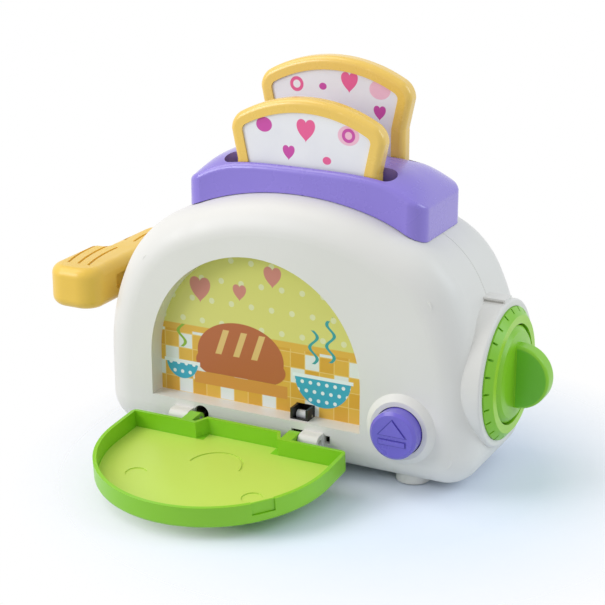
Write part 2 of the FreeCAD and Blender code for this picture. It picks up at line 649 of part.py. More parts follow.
def doorPanel():
    door = Piece("door_panel")
    floor = "door_rim - door_depth"
    door.add("XY", floor, "door_depth", [doorOutline("0")])
    half = value("door_half_width")
    door.dress("Fillet", "3", lambda e: abs(e.BoundBox.ZLength - value("door_depth")) < 0.01 and
               abs(abs(e.Vertexes[0].X) - half) < 0.01 and abs(e.Vertexes[0].Y + value("door_back")) < 0.01)
    door.dress("Fillet", "2.2", lambda e: onPlane("z", value(floor))(e) and e.BoundBox.YMin < -value("door_back") - 2)
    door.cut("XY", floor + " + door_floor", "door_depth", [doorOutline("door_wall")])
    for x in ("left_ear_x", "right_ear_x"):
        door.add("YZ", "%s - door_x" % x, "ear_width", [[
            ("-(door_back + 1)", "-barrel_radius"), ("0", "-barrel_radius"),
            ("0", "barrel_radius", "0", "0", True), ("-(door_back + 1)", "barrel_radius"),
            ("-(door_back + 1)", "-barrel_radius")]])
        door.cut("YZ", "%s - door_x - 1" % x, "ear_width + 2", [("circle", "0", "0", "pin_radius + run_gap")])
    spring = "(-door_back - door_straight)"

    def onRim(radial, across):
        return ("(%s) * cos(notch_angle) - (%s) * sin(notch_angle)" % (radial, across),
                "%s + (%s) * sin(notch_angle) + (%s) * cos(notch_angle)" % (spring, radial, across))

    near, far = "door_half_width - door_wall - 1.5", "door_half_width + 2"
    door.cut("XY", "door_rim - notch_drop", "notch_drop + 1", [[
        onRim(near, "-notch_half_width"), onRim(far, "-notch_half_width"),
        onRim(far, "notch_half_width"), onRim(near, "notch_half_width"), onRim(near, "-notch_half_width")]])
    mouth = "(-door_back - 23)"
    thin, thick = "(smile_radius - 0.6)", "(smile_radius + 0.6)"
    door.cut("XY", floor + " + door_floor - 0.5", "2", [
        ("circle", "-31", "-52", "5.2"), ("circle", "31", "-52", "5.2"),
        [(thick, mouth), ("-" + thick, mouth, "0", mouth, True), ("-" + thin, mouth),
         (thin, mouth, "0", mouth, False), (thick, mouth)]])
    door.place("door_x", "hinge_y", "hinge_z", V(1, 0, 0), "door_tilt")
    return door


def hingePins():
    left = rod("left_hinge_pin", "x", ("left_ear_x - ear_gap - lug_width + 1", "hinge_y", "hinge_z"),
               "pin_radius", "lug_width + ear_gap + ear_width - 1")
    right = rod("right_hinge_pin", "x", ("right_ear_x", "hinge_y", "hinge_z"), "pin_radius",
                "ear_width + ear_gap + lug_width - 1")
    return [left, right]


# ---- eject button and latch ----

def buttonCap():
    cap = Piece("button_cap")
    stemEnd = "latch_y - latch_thickness / 2 - seat_gap"
    cap.turn("XY", ("button_x", "0", "button_z"), [
        ("0", "button_face"), ("button_radius - 1.4", "button_face"), ("button_radius", "button_face + 1.4"),
        ("button_radius", "button_face + cap_skirt"),
        ("button_radius - cap_wall", "button_face + cap_skirt"),
        ("button_radius - cap_wall", "button_face + cap_wall"), ("stem_radius", "button_face + cap_wall"),
        ("stem_radius", stemEnd + " - stem_taper"), ("stem_tip", stemEnd), ("0", stemEnd),
        ("0", "button_face")], "V_Axis")
    low, left, right = "button_z + 0.4", "button_x - 6.6", "button_x + 6.6"
    cap.add("XZ", "button_face - 0.6", "0.8", [
        [(left, low), (right, low), ("button_x", "button_z + 8"), (left, low)],
        rectangle(left, "button_z - 4.2", right, "button_z - 2.0")])
    return cap


def coil(label, axis, start, length, radius, wire, turns):
    """A plain coil spring along one axis, swept as a round wire along a helix."""
    pitch = value(length) - 2 * value(wire)
    helix = Part.makeHelix(pitch / value(turns), pitch, value(radius))
    section = Part.Wire(Part.makeCircle(value(wire), V(value(radius), 0, 0), V(0, 1, 0)))
    solid = Part.Wire(helix.Edges).makePipeShell([section], True, True)
    thing = doc.addObject("Part::Feature", label)
    thing.Shape = solid
    base = [value(a) for a in start]
    base["xyz".index(axis)] += value(wire)
    thing.Placement = FreeCAD.Placement(V(*base), TURNS[axis])
    return thing


def buttonSpring():
    inside = "button_face + cap_wall + 0.2"
    return coil("button_spring", "y", ("button_x", inside, "button_z"),
                "button_seat - 0.2 - (%s)" % inside, "stem_radius + 1.8", "0.45", "6")


def latchLever():
    half = "latch_width / 2"
    low = ("button_x - " + half, "latch_y - latch_thickness / 2", "button_z - stem_radius")
    high = ("button_x + " + half, "latch_y + latch_thickness / 2", "latch_z + latch_reach + 3")
    bar = box("latch_bar", low, high)
    hub = rod("latch_hub", "x", (low[0], "latch_y", "latch_z"), "latch_pin_radius + 2.2", "latch_width")
    nose = box("latch_nose", (low[0], "latch_y", "latch_z + latch_reach"),
               (high[0], "latch_y + latch_thickness / 2 + latch_nose", high[2]))
    bore = rod("latch_bore", "x", ("%s - 1" % low[0], "latch_y", "latch_z"), "latch_pin_radius + run_gap",
               "latch_width + 2")
    return less("latch_lever", join("latch_solid", [bar, hub, nose]), [bore])


def latchPin():
    return rod("latch_pin", "x", ("button_x - latch_width / 2 - 4", "latch_y", "latch_z"),
               "latch_pin_radius", "latch_width + 8")


# ---- chassis, rods and springs ----

CHASSIS_LOW = "base_height + wall"
CHASSIS_TOP = "base_height + wall + chassis_height"


def chassis():
    parts = [box("chassis_plate", ("left_rod_x - 8", "-17", CHASSIS_LOW), ("right_rod_x + 23", "17", CHASSIS_TOP))]
    holes = []
    for side, x in (("left", "left_rod_x"), ("right", "right_rod_x")):
        parts.append(rod(side + "_socket", "z", (x, "0", CHASSIS_TOP + " - 1"), "sleeve_radius + 0.5", "6"))
        holes.append(rod(side + "_socket_bore", "z", (x, "0", CHASSIS_TOP), "rod_radius + 0.03", "8"))
    for side, x in (("left", "button_x - latch_width / 2 - 4"), ("right", "button_x + latch_width / 2 + 1")):
        parts.append(box(side + "_latch_rib", (x, "latch_y - 5", CHASSIS_TOP + " - 1"),
                         (x + " + 3", "latch_y + 5", "latch_z + 4")))
    holes.append(rod("latch_pin_bore", "x", ("button_x - 20", "latch_y", "latch_z"),
                     "latch_pin_radius + 0.02", "40"))
    return less("chassis", join("chassis_solid", parts), holes)


def guideRods():
    return group("guide_rods", [
        rod(side + "_guide_rod", "z", (x, "0", CHASSIS_TOP), "rod_radius",
            "rod_boss_low + rod_tip_depth - 0.2 - (%s)" % CHASSIS_TOP)
        for side, x in (("left", "left_rod_x"), ("right", "right_rod_x"))])


def liftSprings():
    low = CHASSIS_TOP + " + 5.2"
    return [coil(side + "_lift_spring", "z", (x, "0", low), "sleeve_low - 0.2 - (%s)" % low,
                 "sleeve_radius - 1", "spring_wire", "spring_turns")
            for side, x in (("left", "left_rod_x"), ("right", "right_rod_x"))]


# ---- carriage, arm and paddle ----

TRAY_HALF = "(slice_thickness / 2 + tray_gap + tray_wall)"
TRAY_REACH = "(slice_waist / 2 + tray_gap + tray_wall)"


def tray(label, y, floor):
    left, right = "slot_x - " + TRAY_REACH, "slot_x + " + TRAY_REACH
    outer = box(label + "_block", (left, "%s - %s" % (y, TRAY_HALF), floor + " - tray_floor"),
                (right, "%s + %s" % (y, TRAY_HALF), floor + " + tray_height"))
    inner = box(label + "_inside", (left + " + tray_wall", "%s - %s + tray_wall" % (y, TRAY_HALF), floor),
                (right + " - tray_wall", "%s + %s - tray_wall" % (y, TRAY_HALF), floor + " + tray_height + 1"))
    return less(label, outer, [inner])


def carriage():
    backFloor = "front_floor + slice_step"
    inner = "slot_y - %s + 0.5" % TRAY_HALF
    webLow, webTop = "front_floor + 10", "front_floor + 13"
    parts = [
        tray("front_tray", "-slot_y", "front_floor"), tray("back_tray", "slot_y", backFloor),
        box("web_plate", ("slot_x - 31", "-(%s)" % inner, webLow), ("slot_x + 31", inner, webTop)),
        box("web_rib", ("slot_x - 31", inner + " - 3", webLow), ("slot_x + 31", inner, backFloor + " + 3")),
        box("left_web_arm", ("left_rod_x", "-2.5", webLow), ("slot_x - 30", "2.5", webTop)),
        box("right_web_arm", ("slot_x + 30", "-2.5", webLow), ("right_rod_x", "2.5", webTop)),
        box("arm_pad", ("left_rod_x - 11", "-4", "sleeve_low + 2"), ("left_rod_x", "4", "sleeve_high - 2")),
        box("catch_arm", ("right_rod_x", "latch_y + latch_thickness / 2 + latch_nose + seat_gap",
                          "latch_z + latch_reach + lift - 5.5"),
            ("button_x + latch_width / 2", "0", "latch_z + latch_reach + lift - 1")),
    ]
    bores = []
    for side, x in (("left", "left_rod_x"), ("right", "right_rod_x")):
        parts.append(rod(side + "_sleeve", "z", (x, "0", "sleeve_low"), "sleeve_radius", "sleeve_high - sleeve_low"))
        bores.append(rod(side + "_sleeve_bore", "z", (x, "0", "sleeve_low - 1"), "rod_radius + run_gap",
                         "sleeve_high - sleeve_low + 2"))
    for z in ("sleeve_low + 4.5", "sleeve_high - 4.5"):
        bores.append(rod("pad_hole", "x", ("left_rod_x - 12", "0", z), "screw_radius + 0.02", "6"))
    return less("carriage", join("carriage_solid", parts), bores)


ARM_JOINT = "(left_rod_x - 11)"


def leverArm():
    half = "arm_thickness / 2"
    upright = box("arm_upright", (ARM_JOINT + " - 4", "-" + half, "arm_z"), (ARM_JOINT, half, "sleeve_high - 1"))
    beam = box("arm_beam", ("paddle_right - arm_grip", "-" + half, "arm_z"), (ARM_JOINT, half, "arm_z + arm_height"))
    holes = [rod("arm_hole", "x", (ARM_JOINT + " - 5", "0", z), "screw_radius + 0.1", "6")
             for z in ("sleeve_low + 4.5", "sleeve_high - 4.5")]
    return less("lever_arm", join("arm_solid", [upright, beam]), holes)


def armScrews():
    return group("arm_screws", [
        join("arm_screw_%d" % n, [
            rod("arm_screw_shaft_%d" % n, "x", (ARM_JOINT + " - 4", "0", z), "screw_radius", "8"),
            rod("arm_screw_head_%d" % n, "x", (ARM_JOINT + " - 5.6", "0", z), "1.9", "1.6")])
        for n, z in enumerate(("sleeve_low + 4.5", "sleeve_high - 4.5"))])


def roundedRectangle(x, y, halfX, halfY, corner):
    x0, x1 = "%s - (%s)" % (x, halfX), "%s + (%s)" % (x, halfX)
    y0, y1 = "%s - (%s)" % (y, halfY), "%s + (%s)" % (y, halfY)
    r = "(%s)" % corner
    return [(x0 + " + " + r, y0), (x1 + " - " + r, y0), (x1, y0 + " + " + r, x1 + " - " + r, y0 + " + " + r, True),
            (x1, y1 + " - " + r), (x1 + " - " + r, y1, x1 + " - " + r, y1 + " - " + r, True),
            (x0 + " + " + r, y1), (x0, y1 + " - " + r, x0 + " + " + r, y1 + " - " + r, True),
            (x0, y0 + " + " + r), (x0 + " + " + r, y0, x0 + " + " + r, y0 + " + " + r, True)]


def paddleOutline():
    """The paddle's plan: a wide front lobe and a narrower back lobe, straight on the body's side."""
    frontLeft, backLeft = "(paddle_right - front_lobe_width)", "(paddle_right - back_lobe_width)"
    front, meeting, back = "(-paddle_front)", "lobe_meeting", "paddle_back"
    notchX, notchY = "(%s - notch_round)" % backLeft, "(%s + notch_round)" % meeting
    return [
        (frontLeft + " + front_corner", front), ("paddle_right - front_corner", front),
        ("paddle_right", front + " + front_corner", "paddle_right - front_corner", front + " + front_corner", True),
        ("paddle_right", back + " - back_corner"),
        ("paddle_right - back_corner", back, "paddle_right - back_corner", back + " - back_corner", True),
        (backLeft + " + back_corner", back),
        (backLeft, back + " - back_corner", backLeft + " + back_corner", back + " - back_corner", True),
        (backLeft, notchY), (notchX, meeting, notchX, notchY, False),
        (frontLeft + " + notch_corner", meeting),
        (frontLeft, meeting + " - notch_corner", frontLeft + " + notch_corner", meeting + " - notch_corner", True),
        (frontLeft, front + " + front_corner"),
        (frontLeft + " + front_corner", front, frontLeft + " + front_corner", front + " + front_corner", True)]


def groove(x, y, start, end):
    """A shallow finger groove: a narrow arc about a far centre to its right."""
    centre = "(%s + groove_radius)" % x
    inner, outer = "(groove_radius - groove_width / 2)", "(groove_radius + groove_width / 2)"

    def at(radius, angle):
        return "%s - %s * cos(%s)" % (centre, radius, angle), "%s + %s * sin(%s)" % (y, radius, angle)

    return [at(outer, start), at(outer, end) + (centre, y, False), at(inner, end),
            at(inner, start) + (centre, y, True), at(outer, start)]


PADDLE_SCREWS = [("front_hollow_x", "-front_screw_y"), ("back_hollow_x", "back_screw_y")]


def paddleHalf(label, upper):
    half = Piece(label)
    low = "paddle_middle" if upper else "paddle_bottom"
    thick = "paddle_thickness / 2"
    half.add("XY", low, thick, [paddleOutline()])
    face = value("paddle_bottom + paddle_thickness") if upper else value("paddle_bottom")
    half.dress("Fillet", "paddle_round", onPlane("z", face))
    floor, depth = (low if upper else low + " + paddle_wall"), thick + " - paddle_wall"
    frontLow, frontHigh = "(-paddle_front + lobe_inset)", "(-core_half)"
    backLow, backHigh = "core_half", "(paddle_back - lobe_inset)"
    for x, start, end, across, corner in (
            ("front_hollow_x", frontLow, frontHigh, "front_hollow_half", "front_corner - lobe_inset"),
            ("back_hollow_x", backLow, backHigh, "back_hollow_half", "back_corner - lobe_inset")):
        half.cut("XY", floor, depth, [roundedRectangle(
            x, "(%s + %s) / 2" % (start, end), across, "(%s - %s) / 2" % (end, start), corner)])
    half.add("XY", floor, depth, [("circle", x, y, "screw_boss") for x, y in PADDLE_SCREWS])
    recessLow = low if upper else "paddle_middle - recess_half_height"
    half.cut("XY", recessLow, "recess_half_height", [
        rectangle("paddle_right - arm_recess", "-recess_half_length", "paddle_right + 1", "recess_half_length")])
    slotLow = low if upper else "arm_z - 0.1"
    slotHigh = "arm_z + arm_height + 0.1" if upper else "paddle_middle"
    half.cut("XY", slotLow, "%s - (%s)" % (slotHigh, slotLow), [
        rectangle("paddle_right - arm_grip - 0.1", "-(arm_thickness / 2 + 0.1)",
                  "paddle_right + 1", "arm_thickness / 2 + 0.1")])
    if upper:
        half.cut("XY", low, "6", [("circle", x, y, "screw_radius + 0.02") for x, y in PADDLE_SCREWS])
        half.cut("XY", "paddle_bottom + paddle_thickness - groove_depth", "2", [
            groove("front_lobe_groove + %d * groove_pitch" % n, "front_groove_y", "front_groove_start",
                   "front_groove_end") for n in range(3)])
        half.cut("XY", "paddle_bottom + paddle_thickness - groove_depth", "2", [
            groove("back_lobe_groove + %d * groove_pitch" % n, "back_groove_y", "back_groove_start",
                   "back_groove_end") for n in range(2)])
    else:
        half.cut("XY", "paddle_bottom - 1", "20", [("circle", x, y, "screw_radius + 0.3") for x, y in PADDLE_SCREWS])
        half.cut("XY", "paddle_bottom - 1", "3.4", [("circle", x, y, "screw_head + 0.3") for x, y in PADDLE_SCREWS])
    return half


def paddleScrews():
    return group("paddle_screws", [
        join("paddle_screw_%d" % n, [
            rod("paddle_screw_shaft_%d" % n, "z", (x, y, "paddle_bottom + 2.4"), "screw_radius",
                "paddle_thickness / 2 + 3"),
            rod("paddle_screw_head_%d" % n, "z", (x, y, "paddle_bottom + 0.9"), "screw_head", "1.5")])
        for n, (x, y) in enumerate(PADDLE_SCREWS)])


# ---- slices of bread ----

def breadOutline(inset, foot):
    """A slice from the front: half widths about slot_x and heights down from the slice's top."""
    wide, waist = "(slice_width / 2 - (%s))" % inset, "(slice_waist / 2 - (%s))" % inset
    big, small = "(slice_top_radius - (%s))" % inset, "(shoulder_radius - (%s))" % inset
    centreX = "(slice_width / 2 - shoulder_radius)"
    reach = "(slice_top_radius - shoulder_radius)"
    depth = "sqrt(%s * %s - %s * %s)" % (reach, reach, centreX, centreX)
    shoulderZ = "(%s - slice_top_radius)" % depth
    touchX = "(%s * %s / %s)" % (big, centreX, reach)
    touchZ = "(%s * %s / %s - slice_top_radius)" % (big, depth, reach)
    bottom = "(%s - slice_height)" % foot
    return [("-" + waist, bottom), (waist, bottom), (waist, "-waist_drop"), (wide, shoulderZ),
            (touchX, touchZ, centreX, shoulderZ, True),
            ("-" + touchX, touchZ, "0", "-slice_top_radius", True),
            ("-" + wide, shoulderZ, "-" + centreX, shoulderZ, True),
            ("-" + waist, "-waist_drop"), ("-" + waist, bottom)]


def sliceTop(which):
    return "front_slice_top" if which == "front" else "front_slice_top + slice_step"


def crustHalf(which, facing):
    """One moulded half of a slice, with a sunk face for the printed panel."""
    crust = Piece("%s_slice_crust_%s" % (which, facing))
    front = facing == "front"
    half = "slice_thickness / 2"
    crust.add("XZ", "-" + half if front else "0", half, [breadOutline("0", "0")])
    crust.dress("Fillet", "crust_round", onPlane("y", (-1 if front else 1) * value(half)))
    deep = "panel_recess + panel_thickness"
    crust.cut("XZ", "-" + half if front else "%s - (%s)" % (half, deep), deep,
              [breadOutline("crust_width", "crust_width")])
    crust.place("slot_x", "-slot_y" if which == "front" else "slot_y", sliceTop(which))
    return crust


def slicePanel(which, facing):
    panel = Piece("%s_slice_panel_%s" % (which, facing))
    front = facing == "front"
    face = "slice_thickness / 2 - panel_recess"
    panel.add("XZ", "-(%s)" % face if front else "%s - panel_thickness" % face, "panel_thickness",
              [breadOutline("crust_width + 0.05", "crust_width + 0.05")])
    panel.place("slot_x", "-slot_y" if which == "front" else "slot_y", sliceTop(which))
    return panel


# ---- click dial ----

def dialRing():
    ring = Piece("dial_ring")
    profile = [("ring_seat", "ring_hole"), ("ring_face", "ring_hole"), ("ring_face", "ring_radius - 3.8"),
               ("ring_face - 3", "ring_radius"), ("ring_seat", "ring_radius"), ("ring_seat", "ring_hole")]
    ring.turn("XY", ("0", "0", "dial_z"), profile, "H_Axis")
    axis = ring.body.Tip.Profile[0]
    tick = ring.cut("XY", "dial_z + ring_radius - 2.2", "8", [
        rectangle("ring_face - 3.4", "-0.5", "ring_face - 0.9", "0.5")])
    pattern = ring.body.newObject("PartDesign::PolarPattern", "ring_ticks")
    pattern.Originals = [tick]
    pattern.Axis = (axis, ["H_Axis"])
    pattern.Angle = 360
    bind(pattern, "Occurrences", "tick_count")
    ring.body.Tip = pattern
    doc.recompute()
    return ring


def dialKnob():
    knob = Piece("dial_knob")
    back = "ring_seat + 1"
    knob.turn("XY", ("0", "0", "dial_z"), [
        (back, "0"), ("knob_face", "0"), ("knob_face - 0.5", "knob_radius - 6"),
        ("knob_face - 1", "knob_radius - 2.4"), ("knob_face - 3", "knob_radius"), (back, "knob_radius"),
        (back, "0")], "H_Axis")
    hub = "(grip_reach - grip_half_height)"
    low, high = "dial_z - grip_half_height", "dial_z + grip_half_height"
    knob.add("XZ", "-grip_thickness / 2", "grip_thickness", [[
        ("knob_face - 3", low), (hub, low), (hub, high, hub, "dial_z", True), ("knob_face - 3", high),
        ("knob_face - 3", low)]])
    half = value("grip_thickness / 2")
    knob.dress("Fillet", "1.8", lambda e: (onPlane("y", half)(e) or onPlane("y", -half)(e)) and
               e.BoundBox.XMax > value("grip_reach") - 0.5)
    knob.cut("YZ", back, "5", [("circle", "0", "dial_z", "dial_axle_radius + 0.02")])
    return knob


def dialAxle():
    start = ("ratchet_x - 1", "0", "dial_z")
    return less("dial_axle", rod("axle_solid", "x", start, "dial_axle_radius", "ring_seat + 5.8 - ratchet_x + 1"),
                [rod("axle_pilot", "x", start, "screw_radius + 0.02", "9")])


def axleScrew():
    return join("axle_screw", [
        rod("axle_screw_shaft", "x", ("ratchet_x - 1", "0", "dial_z"), "screw_radius", "8"),
        rod("axle_screw_head", "x", ("ratchet_x - 2.8", "0", "dial_z"), "5.2", "1.8")])


def ratchetWheel():
    wheel = Piece("ratchet_wheel")
    wheel.add("YZ", "ratchet_x", "ratchet_width", [("circle", "0", "dial_z", "ratchet_radius")])
    disc = wheel.body.Tip.Profile[0]
    wheel.cut("YZ", "ratchet_x", "ratchet_width", [("circle", "0", "dial_z", "dial_axle_radius + 0.02")])
    top = "dial_z + ratchet_radius"
    notch = wheel.cut("YZ", "ratchet_x", "ratchet_width", [
        [("-1.2", top + " + 0.6"), ("0", top + " - 1.2"), ("1.2", top + " + 0.6"), ("-1.2", top + " + 0.6")]])
    pattern = wheel.body.newObject("PartDesign::PolarPattern", "ratchet_notches")
    pattern.Originals = [notch]
    pattern.Axis = (disc, ["N_Axis"])
    pattern.Angle = 360
    bind(pattern, "Occurrences", "ratchet_teeth")
    wheel.body.Tip = pattern
    doc.recompute()
    return wheel


def clickSpring():
    left, right = "ratchet_x + 0.5", "ratchet_x + ratchet_width - 0.5"
    side = "ratchet_radius + seat_gap"
    leaf = box("click_leaf", (left, side, CHASSIS_TOP), (right, side + " + 1", "dial_z + 6"))
    foot = box("click_foot", (left, side, CHASSIS_TOP), (right, side + " + 2", CHASSIS_TOP + " + 6"))
    return join("click_spring", [leaf, foot])


# ---- slot cover and the chutes under it ----

CROWN_POWERS = {"bow": 2.6, "rim": 3.2, "crest": 7.0}
DOME_CENTRE = "(body_top - dome_radius)"


def crownBlock(label, drop):
    """A block under the cover's pillowed top surface."""
    halfX, halfY = value("cover_half_length"), value("cover_half_depth")
    margin, columns, rows = 0.6, 24, 14
    points = []
    for i in range(columns + 1):
        x = (2.0 * i / columns - 1) * (halfX + margin)
        v = abs(x) / halfX
        rim = value("cover_end_top") + value("rim_rise") * (1 - v ** CROWN_POWERS["rim"])
        crest = value("cover_end_top") + value("crown_rise") * (1 - v ** CROWN_POWERS["crest"])
        line = []
        for j in range(rows + 1):
            y = (2.0 * j / rows - 1) * (halfY + margin)
            u = abs(y) / halfY
            line.append(V(x, y, rim + (crest - rim) * (1 - u ** CROWN_POWERS["bow"])))
        points.append(line)
    surface = Part.BSplineSurface()
    surface.interpolate(points)
    thing = doc.addObject("Part::Feature", label)
    thing.Shape = surface.toShape().extrude(V(0, 0, -value("stock_height")))
    thing.Placement = FreeCAD.Placement(V(value("slot_x"), 0, -value(drop)), FreeCAD.Rotation())
    return thing


def coverPlan(label, inset):
    """The cover's plan: straight sides that flare towards rounded corners."""
    plan = Piece(label)
    halfX, halfY = "(cover_half_length - (%s))" % inset, "(cover_half_depth - (%s))" % inset
    corner = "(cover_corner - (%s))" % inset
    waistY = "(%s - cover_waist)" % halfY
    flare = "((flare_length * flare_length + cover_waist * cover_waist) / (2 * cover_waist))"
    right, left = "(slot_x + %s - %s)" % (halfX, corner), "(slot_x - %s + %s)" % (halfX, corner)
    rightIn, leftIn = "(%s - flare_length)" % right, "(%s + flare_length)" % left
    low, high = "(%s - %s)" % (corner, halfY), "(%s - %s)" % (halfY, corner)
    endLeft, endRight = "(slot_x - %s)" % halfX, "(slot_x + %s)" % halfX
    plan.add("XY", "stock_low", "stock_height", [[
        (leftIn, "-" + waistY), (rightIn, "-" + waistY),
        (right, "-" + halfY, rightIn, "-(%s + %s)" % (waistY, flare), False),
        (endRight, low, right, low, True), (endRight, high), (right, halfY, right, high, True),
        (rightIn, waistY, rightIn, "(%s + %s)" % (waistY, flare), False), (leftIn, waistY),
        (left, halfY, leftIn, "(%s + %s)" % (waistY, flare), False), (endLeft, high, left, high, True),
        (endLeft, low), (left, "-" + halfY, left, low, True),
        (leftIn, "-" + waistY, leftIn, "-(%s + %s)" % (waistY, flare), False)]])
    return plan.body


def slots(label, grow):
    """Both bread slots as upright prisms."""
    prisms = Piece(label)
    for side in ("-", ""):
        prisms.add("XY", "stock_low", "stock_height", [
            stadium("slot_x", side + "slot_y", "slot_half_length + " + grow, "slot_half_width + " + grow)])
    return prisms.body


def common(label, a, b):
    thing = doc.addObject("Part::Common", label)
    thing.Base = a
    thing.Tool = b
    return thing


def postSpots():
    return [(x, y) for x in ("left_post_x", "right_post_x") for y in ("-post_y", "post_y")]


def topCover():
    block = common("cover_block", crownBlock("cover_crown", "0"), coverPlan("cover_plan", "0"))
    doc.recompute()
    size = value("cover_round")
    edges = [(n + 1, size, size) for n, edge in enumerate(block.Shape.Edges)
             if edge.BoundBox.ZMin > value("cover_end_top") - 4 and edge.BoundBox.ZLength < 15]
    rounded = doc.addObject("Part::Fillet", "cover_rounded")
    rounded.Base = block
    rounded.Edges = edges
    hollow = common("cover_hollow", crownBlock("hollow_crown", "cover_wall"), coverPlan("hollow_plan", "cover_wall"))
    inside = less("cover_inside", hollow, [slots("slot_lips", "lip_wall")])
    dome = rod("cover_seat", "y", ("0", "-stock_height", DOME_CENTRE), "dome_radius + seat_gap",
               "2 * stock_height")
    skin = less("cover_skin", rounded, [inside, dome, slots("slot_holes", "0")])
    pillars = [rod("cover_post_%d" % n, "z", (x, y, "flange_low + flange_height + seat_gap"), "post_radius",
                   "crown_rise + cover_end_top - flange_low") for n, (x, y) in enumerate(postSpots())]
    posts = common("cover_posts", join("cover_pillars", pillars), crownBlock("post_crown", "0.8"))
    pilots = [rod("post_pilot_%d" % n, "z", (x, y, "flange_low"), "screw_radius + 0.02", "12")
              for n, (x, y) in enumerate(postSpots())]
    return less("top_cover", join("cover_solid", [skin, posts]), pilots)


def slotLiner():
    low, high = "flange_low", "flange_low + flange_height"
    parts = [box("liner_flange", ("left_post_x - 5", "-post_y - 7.5", low), ("right_post_x + 5", "post_y + 7.5", high))]
    holes = []
    for name, side in (("front", "-"), ("back", "")):
        y = side + "slot_y"
        for grow, target in (("chute_wall", parts), ("0", holes)):
            target.append(box("%s_chute_%s" % (name, "outside" if target is parts else "inside"),
                              ("slot_x - slot_half_length - " + grow, "%s - chute_half_width - %s" % (y, grow),
                               low if target is parts else low + " - 1"),
                              ("slot_x + slot_half_length + " + grow, "%s + chute_half_width + %s" % (y, grow),
                               "body_top")))
    for x0, x1 in (("left_post_x - 6", "left_rod_x + 6"), ("right_rod_x - 6", "right_post_x + 6")):
        holes.append(box("liner_notch", (x0, "-6", low + " - 1"), (x1, "6", high + " + 1")))
    for n, (x, y) in enumerate(postSpots()):
        holes.append(rod("liner_hole_%d" % n, "z", (x, y, low + " - 1"), "screw_radius + 0.3", "4"))
    liner = less("liner_cut", join("liner_solid", parts), holes)
    dome = rod("liner_dome", "y", ("0", "-stock_height", DOME_CENTRE), "dome_radius - wall - 0.4",
               "2 * stock_height")
    return common("slot_liner", liner, dome)


def coverScrews():
    return group("cover_screws", [
        join("cover_screw_%d" % n, [
            rod("cover_screw_shaft_%d" % n, "z", (x, y, "flange_low"), "screw_radius", "11"),
            rod("cover_screw_head_%d" % n, "z", (x, y, "flange_low - 1.6"), "screw_head", "1.6")])
        for n, (x, y) in enumerate(postSpots())])


# ---- build, check and write every sub-part ----

def buildAll():
    pieces = [frontShell(), backShell(), footPads(), shellScrews(), pictureCard(), cardRetainer(),
              retainerScrews(), rollerHousing(), detentRoller(), rollerAxle(), doorPanel()]
    pieces += hingePins()
    pieces += [buttonCap(), buttonSpring(), latchLever(), latchPin(), chassis(), guideRods()]
    pieces += liftSprings()
    pieces += [carriage(), leverArm(), armScrews(), paddleHalf("lever_upper", True),
               paddleHalf("lever_lower", False), paddleScrews()]
    for which in ("front", "back"):
        for facing in ("front", "back"):
            pieces += [crustHalf(which, facing), slicePanel(which, facing)]
    pieces += [dialRing(), dialKnob(), dialAxle(), axleScrew(), ratchetWheel(), clickSpring(),
               topCover(), slotLiner(), coverScrews()]
    return [piece.body if isinstance(piece, Piece) else piece for piece in pieces]


def setOnOrigin(node):
    """Moves a piece from the body's middle, about which it is drawn, to the front right foot's pad."""
    shift = FreeCAD.Placement(V(-value("foot_x"), value("foot_y"), 0), FreeCAD.Rotation())
    node.Placement = shift.multiply(node.Placement)


def writeAll(nodes):
    doc.recompute()
    for thing in doc.Objects:
        if "Invalid" in thing.State or "Error" in thing.State:
            raise RuntimeError("%s is %s" % (thing.Name, thing.State))
    os.makedirs("parts", exist_ok=True)
    for node in nodes:
        node.Label = node.Name
        setOnOrigin(node)
        shape = node.Shape
        if shape.isNull() or not shape.isValid() or not shape.Solids:
            raise RuntimeError("%s is not a sound solid" % node.Name)
        shape.exportStep("parts/%s.step" % node.Name)
        print("%-22s solids %2d volume %9.1f mm3" % (node.Name, len(shape.Solids), shape.Volume))


writeAll(buildAll())
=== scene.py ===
import bpy
import math
from mathutils import Matrix, Vector


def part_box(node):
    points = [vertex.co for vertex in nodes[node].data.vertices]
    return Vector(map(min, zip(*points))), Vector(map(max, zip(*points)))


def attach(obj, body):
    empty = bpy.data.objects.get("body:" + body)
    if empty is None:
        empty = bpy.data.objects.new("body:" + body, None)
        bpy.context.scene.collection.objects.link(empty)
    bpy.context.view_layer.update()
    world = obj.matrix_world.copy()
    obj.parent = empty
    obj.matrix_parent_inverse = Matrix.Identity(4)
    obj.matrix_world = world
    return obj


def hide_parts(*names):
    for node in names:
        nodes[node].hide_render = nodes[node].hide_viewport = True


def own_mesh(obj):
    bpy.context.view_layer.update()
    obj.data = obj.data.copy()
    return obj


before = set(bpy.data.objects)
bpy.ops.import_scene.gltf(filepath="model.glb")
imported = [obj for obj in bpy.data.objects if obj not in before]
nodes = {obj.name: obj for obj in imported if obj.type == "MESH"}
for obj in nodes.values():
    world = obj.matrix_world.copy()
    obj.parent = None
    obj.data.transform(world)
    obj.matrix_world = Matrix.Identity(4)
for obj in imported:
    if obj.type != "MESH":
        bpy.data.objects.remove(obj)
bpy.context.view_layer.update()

scene = bpy.context.scene
bodyMiddle = (-0.062, 0.021, 0.0)   # the point on the table under the middle of the body
inMillimetres = (1000, 1000, 1000)


def about(x, y, z):
    # a place given from the body's middle, in metres
    return (x + bodyMiddle[0], y + bodyMiddle[1], z + bodyMiddle[2])


doorHinge = about(-0.0169, -0.043, 0.0192)
doorTilt = math.radians(4.5)   # how far the open tray leans below level
print("frame loaded:", len(nodes), "nodes")


# shader maths: an expression on values adds its Math nodes

